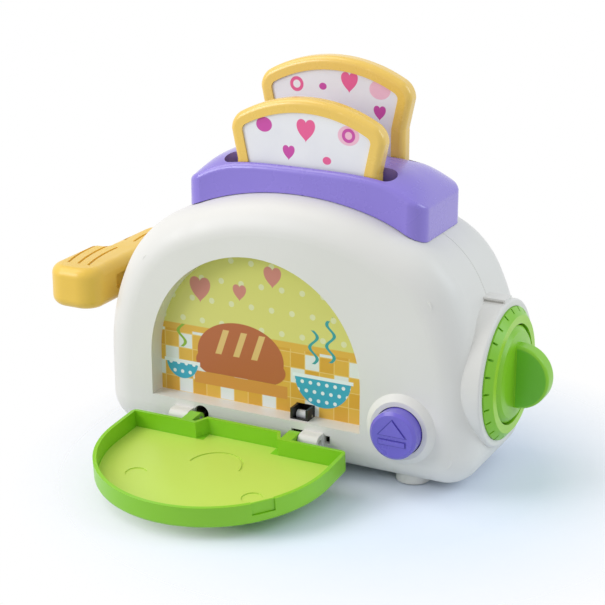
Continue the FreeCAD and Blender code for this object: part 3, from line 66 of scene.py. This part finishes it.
class Value:
    def __init__(self, board, socket):
        self.board = board
        self.socket = socket

    def maths(self, operation, other=None, turned=False):
        pair = [self] if other is None else ([other, self] if turned else [self, other])
        return self.board.node("ShaderNodeMath", {"operation": operation}, dict(enumerate(pair)))[0]

    def __add__(self, other): return self.maths("ADD", other)
    def __sub__(self, other): return self.maths("SUBTRACT", other)
    def __rsub__(self, other): return self.maths("SUBTRACT", other, turned=True)
    def __mul__(self, other): return self.maths("MULTIPLY", other)
    def __truediv__(self, other): return self.maths("DIVIDE", other)
    def __pow__(self, other): return self.maths("POWER", other)
    def __mod__(self, other): return self.maths("FLOORED_MODULO", other)
    def __gt__(self, other): return self.maths("GREATER_THAN", other)
    def __lt__(self, other): return self.maths("LESS_THAN", other)
    def __or__(self, other): return self.maths("MAXIMUM", other)
    def __and__(self, other): return self.maths("MINIMUM", other)
    def __abs__(self): return self.maths("ABSOLUTE")
    def floored(self): return self.maths("FLOOR")
    def sine(self): return self.maths("SINE")


class Board:
    def __init__(self, name):
        self.material = bpy.data.materials.new(name)
        self.material.use_nodes = True
        self.tree = self.material.node_tree
        self.tree.nodes.clear()
        self.output = self.tree.nodes.new("ShaderNodeOutputMaterial")

    def node(self, kind, settings, inputs):
        # settings come first, then the values and links of the sockets; returns the outputs
        made = self.tree.nodes.new(kind)
        for key, setting in settings.items():
            setattr(made, key, setting)
        for key, given in inputs.items():
            socket = made.inputs[key]
            if isinstance(given, Value):
                self.tree.links.new(given.socket, socket)
            else:
                socket.default_value = given
        return [Value(self, out) for out in made.outputs]

    def place(self, centre=(0, 0, 0), scale=(1, 1, 1), turn=(0, 0, 0)):
        # object coordinates about a centre; they are metres unless scaled
        spot = self.node("ShaderNodeTexCoord", {}, {})[3]
        moved = self.node("ShaderNodeVectorMath", {"operation": "SUBTRACT"}, {0: spot, 1: centre})[0]
        return self.node("ShaderNodeMapping", {"vector_type": "POINT"}, {
            "Vector": moved, "Rotation": turn, "Scale": scale})[0]

    def split(self, vector):
        return self.node("ShaderNodeSeparateXYZ", {}, {0: vector})

    def noise(self, where, scale, detail, rough=0.5):
        return self.node("ShaderNodeTexNoise", {}, {
            "Vector": where, "Scale": scale, "Detail": detail, "Roughness": rough})[0]

    def spread(self, value, low, high, toLow, toHigh):
        return self.node("ShaderNodeMapRange", {"clamp": True}, {
            "Value": value, "From Min": low, "From Max": high, "To Min": toLow, "To Max": toHigh})[0]

    def blend(self, factor, under, over):
        outs = self.node("ShaderNodeMix", {"data_type": "RGBA"}, {0: factor, 6: under, 7: over})
        return outs[2]

    def bump(self, recessShade, strength, distance):
        return self.node("ShaderNodeBump", {}, {
            "Height": recessShade, "Strength": strength, "Distance": distance})[0]

    def plastic(self, colour, roughness, normal=None, coat=0.0, metal=0.0, specular=0.5, alpha=1.0):
        coatRoughness = 0.12
        inputs = {"Base Color": colour, "Roughness": roughness, "Metallic": metal, "Alpha": alpha,
                  "Specular IOR Level": specular, "Coat Weight": coat, "Coat Roughness": coatRoughness}
        if normal is not None:
            inputs["Normal"] = normal
        surface = self.node("ShaderNodeBsdfPrincipled", {}, inputs)[0]
        self.tree.links.new(surface.socket, self.output.inputs["Surface"])
        return self.material


def colour(red, green, blue):
    # from the usual 0-255 scale to the light scale that the shaders use
    curve = {"knee": 0.04045, "slope": 12.92, "lift": 0.055, "power": 2.4}

    def part(level):
        level /= 255
        if level <= curve["knee"]:
            return level / curve["slope"]
        return ((level + curve["lift"]) / (1 + curve["lift"])) ** curve["power"]

    return (part(red), part(green), part(blue), 1.0)


def mouldedPlastic(name, look):
    # moulded plastic: faint flow mottling, an uneven gloss, a fine skin and a little handling dust;
    # a noise is given by its scale, detail and roughness, a patch by the function that makes its mask
    # and by its colour
    grain = {"flow": (18.0, 3.0, 0.55), "dust": (900.0, 1.0, 0.5), "scuff": (60.0, 4.0, 0.7),
             "skin": (look["skinScale"], 2.0, 0.6), "flowRange": (0.3, 0.7), "dustRange": (0.72, 0.8),
             "scuffRange": (0.35, 0.7), "specks": 0.12, "glossier": 0.05, "duller": 0.07, "skinDepth": 0.0002}
    board = Board(name)
    where = board.place()
    flow = board.noise(where, *grain["flow"])
    skin = board.noise(where, *grain["skin"])
    dust = board.noise(where, *grain["dust"])
    scuff = board.noise(where, *grain["scuff"])
    base = board.blend(board.spread(flow, *grain["flowRange"], 0.0, 1.0), look["colour"], look["shade"])
    # each patch paints its part of the piece lighter or darker, as painted light and shade
    for mask, tone in look.get("lightAndShadePatches", ()):
        base = board.blend(mask(board), base, tone)
    speck = board.spread(dust, *grain["dustRange"], 0.0, look.get("specks", grain["specks"]))
    base = board.blend(speck, base, look["speckColour"])
    rough = board.spread(scuff, *grain["scuffRange"],
                         look["rough"] - grain["glossier"], look["rough"] + grain["duller"])
    normal = board.bump(skin, look["skin"], grain["skinDepth"])
    return board.plastic(base, rough, normal, coat=look.get("coat", 0.0))


# masks for the patches of painted light and shade: each finds its part of a piece by place, in millimetres

def litTrayFloor(board):
    # painted light: the tray's floor, which faces the lamps, gets a lighter green than the rest of the tray;
    # found in the tray's own tilted frame about the hinge
    look = {"level": -5.1, "near": 0.5, "reach": 56.5, "spring": -28.4, "back": -10.6, "tongueBack": -4.2,
            "tongueHalf": 18.3, "soft": 0.3}
    x, y, z = board.split(board.place(doorHinge, inMillimetres, (-doorTilt, 0, 0)))
    forward = (y - look["spring"]) & 0
    away = (x * x + forward * forward) ** 0.5
    inside = board.spread(away, look["reach"] - look["soft"], look["reach"], 1, 0)
    deep = board.spread(y, look["back"] - look["soft"], look["back"], 1, 0)
    tongue = (board.spread(y, look["tongueBack"] - look["soft"], look["tongueBack"], 1, 0)
              & board.spread(abs(x), look["tongueHalf"], look["tongueHalf"] + look["soft"], 1, 0))
    return inside & (deep | tongue) & (abs(z - look["level"]) < look["near"])


def ejectGrooveShade(board):
    # painted shade: a darker line along the groove around the raised triangle and bar on the button's face
    look = {"face": about(0.0628, -0.0494, 0.0325), "line": 0.45, "lineSoft": 0.1, "edgeSoft": 0.05,
            "low": 0.4, "high": 8.0, "half": 6.6, "barMiddle": -3.1, "barHalf": 1.1, "frontDepth": 1.0}
    x, y, z = board.split(board.place(look["face"], inMillimetres))
    slope = look["half"] / (look["high"] - look["low"])
    lean = (1 + slope * slope) ** 0.5
    side = (look["half"] - (z - look["low"]) * slope - abs(x)) / lean
    triangle = side & (z - look["low"])
    bar = (look["half"] - abs(x)) & (look["barHalf"] - abs(z - look["barMiddle"]))
    depth = triangle | bar
    return (board.spread(depth, -look["line"] - look["lineSoft"], -look["line"], 0, 1)
            & board.spread(depth, -look["edgeSoft"], look["edgeSoft"], 1, 0) & (y < look["frontDepth"]))


ringLook = {"face": about(0.1022, 0, 0.0535), "flatRadius": 28.0, "bevelRadius": 28.3, "frontDepth": 0.5}


def ringPlace(board):
    # how far out along the dial's axis, and how far from it
    x, y, z = board.split(board.place(ringLook["face"], inMillimetres))
    return x, (y * y + z * z) ** 0.5


def shadedRingBevel(board):
    # painted shade: the bevel around the dial ring's face, a little darker as it turns away from the light
    away = ringPlace(board)[1]
    return board.spread(away, ringLook["flatRadius"], ringLook["bevelRadius"], 0, 1)


def litRingFace(board):
    # painted light: the dial ring's flat face, inside its bevel, lighter as it faces the light
    out, away = ringPlace(board)
    return (board.spread(away, ringLook["flatRadius"], ringLook["bevelRadius"], 1, 0)
            & (out > ringLook["frontDepth"]))


def shadedFinSides(board):
    # painted shade: the two flat sides of the grip, darker green than the rest of the knob
    look = {"root": about(0.1055, 0, 0.0535), "rootHigh": 0.3, "inner": (4.3, 4.45), "outer": (4.6, 4.8)}
    x, y = board.split(board.place(look["root"], inMillimetres))[:2]
    return ((x > look["rootHigh"]) & board.spread(abs(y), *look["inner"], 0, 1)
            & board.spread(abs(y), *look["outer"], 1, 0))


leafLook = {"colour": colour(138, 204, 36), "shade": colour(131, 198, 32),
            "speckColour": colour(176, 222, 90), "rough": 0.33, "skin": 0.08, "skinScale": 1200.0}
plasticLooks = {
    "ivoryShell": {"colour": colour(229, 227, 222), "shade": colour(225, 223, 217),
                   "speckColour": colour(205, 200, 190), "rough": 0.42, "skin": 0.10, "skinScale": 1400.0},
    "violetPlastic": {"colour": colour(142, 124, 216), "shade": colour(137, 119, 212),
                      "speckColour": colour(152, 135, 220), "rough": 0.26, "coat": 0.4, "skin": 0.03,
                      "specks": 0.05, "skinScale": 1200.0},
    "buttonPlastic": {"colour": colour(112, 98, 206), "shade": colour(106, 93, 201),
                      "speckColour": colour(128, 114, 214), "rough": 0.26, "coat": 0.3, "skin": 0.08,
                      # painted shade along the eject mark's groove
                      "skinScale": 1200.0, "lightAndShadePatches": [(ejectGrooveShade, colour(74, 64, 170))]},
    # painted light on the tray's floor
    "doorPlastic": dict(leafLook, lightAndShadePatches=[(litTrayFloor, colour(196, 222, 92))]),
    # painted shade on the ring's bevel and painted light on its face
    "ringPlastic": dict(leafLook, lightAndShadePatches=[(shadedRingBevel, colour(132, 200, 34)),
                                           (litRingFace, colour(160, 214, 50))]),
    # painted shade on the grip's flat sides
    "knobPlastic": dict(leafLook, lightAndShadePatches=[(shadedFinSides, colour(104, 186, 28))]),
    "crustPlastic": {"colour": colour(243, 204, 98), "shade": colour(239, 196, 86),
                     "speckColour": colour(248, 222, 140), "rough": 0.26, "coat": 0.35, "skin": 0.03,
                     "specks": 0.05, "skinScale": 1200.0},
    "amberPlastic": {"colour": colour(238, 198, 82), "shade": colour(234, 190, 72),
                     "speckColour": colour(244, 212, 130), "rough": 0.34, "skin": 0.08, "skinScale": 1200.0},
    "greyPlastic": {"colour": colour(176, 176, 180), "shade": colour(168, 168, 172),
                    "speckColour": colour(150, 150, 155), "rough": 0.5, "skin": 0.15, "skinScale": 900.0},
    # painted shade: the arm's dark brown stands for the deep shade inside the paddle's side opening, where
    # the arm shows
    "armShadeBrown": {"colour": colour(92, 60, 40), "shade": colour(84, 54, 36),
                     "speckColour": colour(120, 90, 66), "rough": 0.45, "skin": 0.12, "skinScale": 900.0},
    "blackPlastic": {"colour": colour(28, 27, 27), "shade": colour(22, 21, 21),
                     "speckColour": colour(60, 58, 56), "rough": 0.4, "skin": 0.15, "skinScale": 900.0},
    "silverPlastic": {"colour": colour(214, 214, 216), "shade": colour(204, 204, 208),
                      "speckColour": colour(235, 235, 238), "rough": 0.22, "skin": 0.08, "skinScale": 900.0},
    "softPad": {"colour": colour(120, 120, 122), "shade": colour(110, 110, 112),
                "speckColour": colour(150, 150, 150), "rough": 0.75, "skin": 0.4, "skinScale": 700.0},
}
finishes = {name: mouldedPlastic(name, look) for name, look in plasticLooks.items()}


def brightSteel():
    # drawn steel: fine lines along the part and slight tarnish
    look = {"drawn": (40, 900, 900), "lines": (1.0, 3.0, 0.6), "tarnish": (90.0, 2.0, 0.5),
            "tarnishRange": (0.4, 0.7), "lineRange": (0.3, 0.7), "bright": colour(196, 197, 200),
            "dull": colour(172, 172, 172), "smooth": 0.22, "rough": 0.38, "relief": 0.12, "depth": 0.0001}
    board = Board("brightSteel")
    where = board.place(scale=look["drawn"])
    lines = board.noise(where, *look["lines"])
    tarnish = board.noise(board.place(), *look["tarnish"])
    base = board.blend(board.spread(tarnish, *look["tarnishRange"], 0, 1), look["bright"], look["dull"])
    rough = board.spread(lines, *look["lineRange"], look["smooth"], look["rough"])
    return board.plastic(base, rough, board.bump(lines, look["relief"], look["depth"]), metal=1.0)


finishes["brightSteel"] = brightSteel()

wears = {
    "ivoryShell": ["front_shell", "back_shell", "card_retainer"],
    "violetPlastic": ["top_cover"],
    "buttonPlastic": ["button_cap"],
    "doorPlastic": ["door_panel"],
    "ringPlastic": ["dial_ring"],
    "knobPlastic": ["dial_knob"],
    "crustPlastic": ["front_slice_crust_front", "front_slice_crust_back", "back_slice_crust_front",
                     "back_slice_crust_back"],
    "amberPlastic": ["lever_upper", "lever_lower"],
    "greyPlastic": ["chassis", "carriage", "slot_liner", "latch_lever", "ratchet_wheel", "dial_axle"],
    # the arm's brown is painted shade
    "armShadeBrown": ["lever_arm"],
    "blackPlastic": ["roller_housing"],
    "silverPlastic": ["detent_roller"],
    "softPad": ["foot_pads"],
    "brightSteel": ["shell_screws", "retainer_screws", "arm_screws", "paddle_screws", "cover_screws",
                    "axle_screw", "roller_axle", "left_hinge_pin", "right_hinge_pin", "latch_pin",
                    "guide_rods", "left_lift_spring", "right_lift_spring", "button_spring", "click_spring"],
}


def dress(name, finish):
    nodes[name].data.materials.clear()
    nodes[name].data.materials.append(finish)


for finish, names in wears.items():
    for name in names:
        dress(name, finishes[finish])
print("plain finishes on")


# the prints on the card and on the slices

class Print:
    # soft-edged shapes drawn on x and z in millimetres; half sizes are given, not whole ones
    def __init__(self, board, centre):
        self.board = board
        parts = board.split(board.place(centre=centre, scale=inMillimetres))
        self.x, self.z = parts[0], parts[2]

    def fill(self, inside, soft=0.12):
        return self.board.spread(inside, -soft, soft, 0.0, 1.0)

    def oval(self, x, z, wide, tall):
        across, up = (self.x - x) / wide, (self.z - z) / tall
        return self.fill((1 - (across * across + up * up) ** 0.5) * min(wide, tall))

    def block(self, x, z, wide, tall):
        return self.fill(wide - abs(self.x - x)) & self.fill(tall - abs(self.z - z))

    def below(self, z):
        return self.fill(z - self.z)

    def ring(self, x, z, radius, width):
        away = ((self.x - x) ** 2 + (self.z - z) ** 2) ** 0.5
        return self.fill(width - abs(away - radius))

    def stroke(self, x, z, length, lean, width):
        leaning = self.fill(width - abs(self.x - x - (self.z - z) * lean))
        return leaning & self.fill(length - abs(self.z - z))

    def wave(self, x, low, high, swing, pitch, width):
        bend = ((self.z - low) * (2 * math.pi / pitch)).sine()
        return (self.fill(width - abs(self.x - x - bend * swing)) & self.fill(self.z - low)
                & self.fill(high - self.z))

    def heart(self, x, z, size):
        # an oval whose middle is bent down
        dip, breadth = 0.75, 0.9
        across, up = abs((self.x - x) / size), (self.z - z) / size
        lift = up - (across ** 0.5) * dip
        return self.fill((1 - (across * across * breadth + lift * lift) ** 0.5) * size)

    def dots(self, x, z, pitch, radius):
        # staggered rows of dots
        row = ((self.z - z) / pitch).floored()
        slide = (row % 2) * (pitch / 2)
        across = ((self.x - x + slide) % pitch) - pitch / 2
        up = ((self.z - z) % pitch) - pitch / 2
        return self.fill(radius - (across * across + up * up) ** 0.5)


def printedSheet(board, tone, smooth, rough):
    # the faint grain of a printed sheet, over its colours
    look = {"grain": (2200.0, 2.0), "range": (0.3, 0.7), "relief": 0.05, "depth": 0.0001}
    grain = board.noise(board.place(), *look["grain"])
    return board.plastic(tone, board.spread(grain, *look["range"], smooth, rough),
                         board.bump(grain, look["relief"], look["depth"]))


def printedCard():
    # behind the window: a dotted kitchen wall, a check band, a loaf on a board and two dotted bowls
    look = {"centre": about(-0.0154, 0, 0.026), "wallFrom": 20, "wallTo": 75, "wallDots": (0, 1, 11.0, 1.5),
            "wallDotShare": 0.35, "cell": 7.8, "cellSeed": 3.0, "amberShare": 0.8, "whiteFrom": 0.25,
            "lineHalf": 0.22, "lineSoft": 0.1, "bandTop": 33.0, "ledgeRise": 1.4, "ledgeHalf": (70, 1.6),
            "loafBoard": (-12, 9.5, 26, 3.2), "loafTop": (-12, 24, 24, 17), "loafFoot": (-12, 19, 25, 10),
            "loafLow": 12.8, "cuts": (-22, -12, -2), "cutShape": (30, 6.5, 0.35, 1.7),
            "bowls": ((33, 15, 15), (-45, 13, 9)), "bowlRim": 0.35, "bowlDots": (4.4, 0.95),
            "rimPast": 1.2, "rimHalf": 0.9,
            "waves": ((28, 27, 44, "teal"), (37, 29, 50, "teal"), (-45, 24, 36, "leaf")),
            "waveShape": (2.0, 11.0, 0.9), "hearts": ((-34, 54, 5.5), (6, 66, 4.5), (-12, 56, 3.5)),
            "speck": (38, 52, 0.1, 0.1), "smooth": 0.34, "rough": 0.44,
            "wall": colour(216, 214, 112), "wallLow": colour(222, 216, 128),
            "orange": colour(226, 178, 70), "amber": colour(218, 162, 52), "white": colour(228, 232, 230),
            "line": colour(234, 200, 118), "loaf": colour(183, 102, 58), "crumb": colour(226, 190, 120),
            "board": colour(214, 148, 66), "blue": colour(56, 168, 196), "dot": colour(234, 242, 244),
            "teal": colour(52, 158, 160), "leaf": colour(140, 180, 50), "rose": colour(206, 134, 120)}
    board = Board("printedCard")
    art = Print(board, look["centre"])
    # painted shade: the wall turns darker towards the top, where the window's recess shades the card
    recessShade = board.spread(art.z, look["wallFrom"], look["wallTo"], 0, 1)
    tone = board.blend(recessShade, look["wallLow"], look["wall"])
    paper = board.blend(art.dots(*look["wallDots"]) * look["wallDotShare"], tone, look["dot"])
    # the check: orange and amber squares, some of them white, with pale lines between
    column = (art.x / look["cell"]).floored()
    row = (art.z / look["cell"]).floored()
    cellSpot = board.node("ShaderNodeCombineXYZ", {}, {0: column, 1: row, 2: look["cellSeed"]})[0]
    chance = board.node("ShaderNodeTexWhiteNoise", {"noise_dimensions": "3D"}, {"Vector": cellSpot})[0]
    check = board.blend(((column + row) % 2) * look["amberShare"], look["orange"], look["amber"])
    whiteCell = ((column + row * 2) % 3 < 0.5) & (chance > look["whiteFrom"])
    check = board.blend(whiteCell, check, look["white"])
    gapX = abs((art.x / look["cell"]) % 1 - 0.5) * look["cell"]
    gapZ = abs((art.z / look["cell"]) % 1 - 0.5) * look["cell"]
    lines = art.fill((gapX | gapZ) - (look["cell"] / 2 - look["lineHalf"]), look["lineSoft"])
    check = board.blend(lines, check, look["line"])
    tone = board.blend(art.below(look["bandTop"]), paper, check)
    ledge = art.block(0, look["bandTop"] + look["ledgeRise"], *look["ledgeHalf"])
    tone = board.blend(ledge, tone, look["orange"])
    # a round loaf with three cuts, on a board
    tone = board.blend(art.block(*look["loafBoard"]), tone, look["board"])
    loaf = (art.oval(*look["loafTop"]) | art.oval(*look["loafFoot"])) & (1 - art.below(look["loafLow"]))
    tone = board.blend(loaf, tone, look["loaf"])
    for x in look["cuts"]:
        tone = board.blend(art.stroke(x, *look["cutShape"]) & loaf, tone, look["crumb"])
    # the bowls
    for x, z, size in look["bowls"]:
        rim = z + size * look["bowlRim"]
        bowl = art.oval(x, rim, size, size) & art.below(rim)
        dotted = board.blend(art.dots(x, z, *look["bowlDots"]), look["blue"], look["dot"])
        tone = board.blend(bowl, tone, dotted)
        tone = board.blend(art.block(x, rim, size + look["rimPast"], look["rimHalf"]), tone, look["dot"])
    # what rises from them, and hearts and a fine speck on the wall
    for x, low, high, tint in look["waves"]:
        tone = board.blend(art.wave(x, low, high, *look["waveShape"]), tone, look[tint])
    for x, z, size in look["hearts"]:
        tone = board.blend(art.heart(x, z, size), tone, look["rose"])
    tone = board.blend(art.ring(*look["speck"]), tone, look["teal"])
    return printedSheet(board, tone, look["smooth"], look["rough"])


def slicePrint(name, centre, motifs):
    # a faintly clouded white face with simple jam-coloured motifs
    look = {"clouds": (45.0, 3.0), "cloudRange": (0.35, 0.65), "white": colour(241, 240, 242),
            "shade": colour(235, 234, 238), "ringLine": 0.3, "ovalTall": 0.85, "smooth": 0.3, "rough": 0.4}
    board = Board(name)
    art = Print(board, centre)
    cloud = board.noise(board.place(), *look["clouds"])
    tone = board.blend(board.spread(cloud, *look["cloudRange"], 0, 1), look["white"], look["shade"])
    for kind, x, z, size, tint in motifs:
        if kind == "ring":
            mask = art.ring(x, z, size, size * look["ringLine"])
        elif kind == "heart":
            mask = art.heart(x, z, size)
        else:
            mask = art.oval(x, z, size, size * look["ovalTall"])
        tone = board.blend(mask, tone, tint)
    return printedSheet(board, tone, look["smooth"], look["rough"])


magenta, rose, blush = colour(205, 75, 165), colour(236, 96, 150), colour(243, 190, 208)
slicePrints = {
    "front": {"top": about(0.003, -0.015, 0.1785), "motifs": [
        ("oval", -22, -14, 4.2, magenta), ("heart", 0, -16, 4.6, rose), ("oval", 22, -15, 5.5, blush),
        ("ring", 22, -15, 2.6, magenta), ("heart", -9, -27, 3.0, magenta), ("oval", 11, -28, 2.2, rose)]},
    "back": {"top": about(0.003, 0.015, 0.1937), "motifs": [
        ("heart", 8, -13, 4.2, rose), ("oval", 24, -14, 5.5, blush), ("oval", -6, -15, 2.0, magenta),
        ("ring", -20, -15, 2.8, rose), ("heart", 24, -26, 3.0, magenta)]},
}
dress("picture_card", printedCard())
for side, look in slicePrints.items():
    facePrint = slicePrint(side + "SlicePrint", look["top"], look["motifs"])
    for facing in ("front", "back"):
        dress("%s_slice_panel_%s" % (side, facing), facePrint)
print("prints on")


# the thin wall that closes the inner side of the catch notch in the tray's rim

def notchWeb():
    look = {"spring": -0.0284, "turn": math.radians(-40), "radius": 0.0571, "thick": 0.0009, "wide": 0.0113,
            "high": 0.0058, "middle": 0.0006, "round": 0.0002, "roundSteps": 2}
    bpy.ops.object.select_all(action="DESELECT")
    bpy.ops.mesh.primitive_cube_add(size=1)
    made = bpy.context.object
    made.name = "notchWeb"
    across = Vector((look["radius"] * math.cos(look["turn"]),
                     look["spring"] + look["radius"] * math.sin(look["turn"]), look["middle"]))
    made.matrix_world = (Matrix.Translation(doorHinge) @ Matrix.Rotation(doorTilt, 4, "X")
                         @ Matrix.Translation(across) @ Matrix.Rotation(look["turn"], 4, "Z")
                         @ Matrix.Diagonal((look["thick"], look["wide"], look["high"], 1)))
    bpy.ops.object.transform_apply(location=True, rotation=True, scale=True)
    softened = made.modifiers.new("softened", "BEVEL")
    softened.width = look["round"]
    softened.segments = look["roundSteps"]
    bpy.ops.object.modifier_apply(modifier="softened")
    made.data.materials.append(finishes["doorPlastic"])
    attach(made, "door")


notchWeb()
print("notch web on")


# the coil springs, wound as meshes in place of the springs from the file

liftSpring = {"joint": "carriage_lift", "axis": (0, 0, 1), "fixedLow": True, "wire": 0.00055,
              "turns": 14, "stroke": 0.034}
springLooks = {
    "left_lift_spring": liftSpring,
    "right_lift_spring": liftSpring,
    "button_spring": {"joint": "button_press", "axis": (0, 1, 0), "fixedLow": False, "wire": 0.00045,
                      "turns": 6, "stroke": 0.003},
}
coilLook = {"wireSides": 10, "turnSteps": 24, "weld": 0.00001, "smoothUnder": math.radians(50)}


def coilSpring(name, look):
    # a circle wound along z with closed ends, then turned to the spring's axis and put in its place
    low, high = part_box(name)
    along = Vector(look["axis"])
    length = (high - low).dot(along)
    middle = (low + high) / 2
    start = middle - along * (length / 2 - look["wire"])
    bpy.ops.object.select_all(action="DESELECT")
    bpy.ops.mesh.primitive_circle_add(vertices=coilLook["wireSides"], radius=look["wire"],
                                      rotation=(math.pi / 2, 0, 0),
                                      location=((high.x - low.x) / 2 - look["wire"], 0, 0))
    made = bpy.context.object
    made.name = name + "Coil"
    bpy.ops.object.transform_apply(location=True, rotation=True, scale=True)
    wound = made.modifiers.new("wound", "SCREW")
    wound.steps = coilLook["turnSteps"]
    wound.render_steps = coilLook["turnSteps"]
    wound.iterations = look["turns"]
    wound.screw_offset = (length - 2 * look["wire"]) / look["turns"]
    bpy.ops.object.modifier_apply(modifier="wound")
    bpy.ops.object.mode_set(mode="EDIT")
    bpy.ops.mesh.select_all(action="SELECT")
    bpy.ops.mesh.remove_doubles(threshold=coilLook["weld"])
    bpy.ops.mesh.fill_holes(sides=0)
    bpy.ops.mesh.select_all(action="SELECT")
    bpy.ops.mesh.normals_make_consistent(inside=False)
    bpy.ops.object.mode_set(mode="OBJECT")
    made.rotation_mode = "QUATERNION"
    made.rotation_quaternion = Vector((0, 0, 1)).rotation_difference(along)
    made.location = start
    bpy.ops.object.transform_apply(location=True, rotation=True, scale=True)
    bpy.ops.object.shade_smooth_by_angle(angle=coilLook["smoothUnder"])
    made.data.materials.append(finishes["brightSteel"])
    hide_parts(name)
    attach(made, "housing")
    held = middle - along * (length / 2) * (1 if look["fixedLow"] else -1)
    1 - look["stroke"] / length
    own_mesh(made)


for name, look in springLooks.items():
    coilSpring(name, look)
print("springs on")


# room: camera, lamps, floor and surroundings

def stand(made, place, target):
    # puts a camera or lamp in its place, looking at the target
    scene.collection.objects.link(made)
    made.location = place
    made.rotation_mode = "QUATERNION"
    heading = Vector(target) - Vector(place)
    made.rotation_quaternion = heading.to_track_quat("-Z", "Y")


def camera():
    view = {"place": about(0.352443, -0.710316, 0.339847), "target": about(0.01157, -0.0390, 0.08676),
            "lens": 101.16, "sensor": 36.0}
    data = bpy.data.cameras.new("viewer")
    data.lens = view["lens"]
    data.sensor_width = view["sensor"]
    data.sensor_fit = "HORIZONTAL"
    made = bpy.data.objects.new("viewer", data)
    stand(made, view["place"], view["target"])
    scene.camera = made


def lamp(name, look):
    data = bpy.data.lights.new(name, "AREA")
    data.shape = "RECTANGLE"
    data.size, data.size_y = look["size"]
    data.energy = look["power"]
    data.color = look["tint"]
    stand(bpy.data.objects.new(name, data), about(*look["place"]), about(*look["aim"]))


def floor():
    # a pale tabletop that fades out close around the toy
    look = {"size": 8, "tone": (0.82, 0.88, 0.98, 1), "toneLow": (0.80, 0.865, 0.97, 1), "rough": 0.75,
            "specular": 0.2, "grain": (30.0, 2.0), "middle": about(0.035, -0.02, 0), "fadeFrom": 0.085,
            "fadeTo": 0.17}
    bpy.ops.object.select_all(action="DESELECT")
    bpy.ops.mesh.primitive_plane_add(size=look["size"], location=(0, 0, 0))
    made = bpy.context.object
    made.name = "floor"
    board = Board("paleFloor")
    grain = board.noise(board.place(), *look["grain"])
    parts = board.split(board.place(centre=look["middle"]))
    away = (parts[0] * parts[0] + parts[1] * parts[1]) ** 0.5
    tone = board.blend(grain, look["toneLow"], look["tone"])
    board.plastic(tone, look["rough"], specular=look["specular"], alpha=board.spread(
        away, look["fadeFrom"], look["fadeTo"], 1.0, 0.0))
    made.data.materials.append(board.material)


def surroundings():
    # soft sky light for the toy; plain white behind it and in its reflections
    look = {"sky": (0.93, 0.97, 1.0, 1), "skyStrength": 0.62, "behind": (1, 1, 1, 1), "behindStrength": 1.0}
    world = bpy.data.worlds.new("studio")
    scene.world = world
    world.use_nodes = True
    tree = world.node_tree
    tree.nodes.clear()
    out = tree.nodes.new("ShaderNodeOutputWorld")
    seen = tree.nodes.new("ShaderNodeLightPath")
    white = tree.nodes.new("ShaderNodeBackground")
    white.inputs["Color"].default_value = look["behind"]
    white.inputs["Strength"].default_value = look["behindStrength"]
    sky = tree.nodes.new("ShaderNodeBackground")
    sky.inputs["Color"].default_value = look["sky"]
    sky.inputs["Strength"].default_value = look["skyStrength"]
    mix = tree.nodes.new("ShaderNodeMixShader")
    plain = seen.outputs["Is Camera Ray"]
    for ray in ("Is Glossy Ray", "Is Transmission Ray"):
        either = tree.nodes.new("ShaderNodeMath")
        either.operation = "MAXIMUM"
        tree.links.new(plain, either.inputs[0])
        tree.links.new(seen.outputs[ray], either.inputs[1])
        plain = either.outputs[0]
    tree.links.new(plain, mix.inputs[0])
    tree.links.new(sky.outputs[0], mix.inputs[1])
    tree.links.new(white.outputs[0], mix.inputs[2])
    tree.links.new(mix.outputs[0], out.inputs[0])


lampLooks = {
    "keyLamp": {"place": (-0.75, -0.25, 1.15), "aim": (0, 0, 0.07), "size": (0.8, 0.8), "power": 5.3,
                "tint": (1.0, 0.955, 0.89)},
    "leftLamp": {"place": (-0.50, -0.50, 0.38), "aim": (0, 0, 0.07), "size": (0.35, 0.35), "power": 2.1,
                 "tint": (0.96, 0.96, 1.0)},
    "rightLamp": {"place": (1.0, 0.35, 0.8), "aim": (0, 0, 0.07), "size": (0.7, 0.7), "power": 4.8,
                  "tint": (0.82, 0.91, 1.0)},
}
floor()
surroundings()
for name, look in lampLooks.items():
    lamp(name, look)
camera()
scene.view_settings.view_transform = "Standard"
print("room, lamps and camera ready")
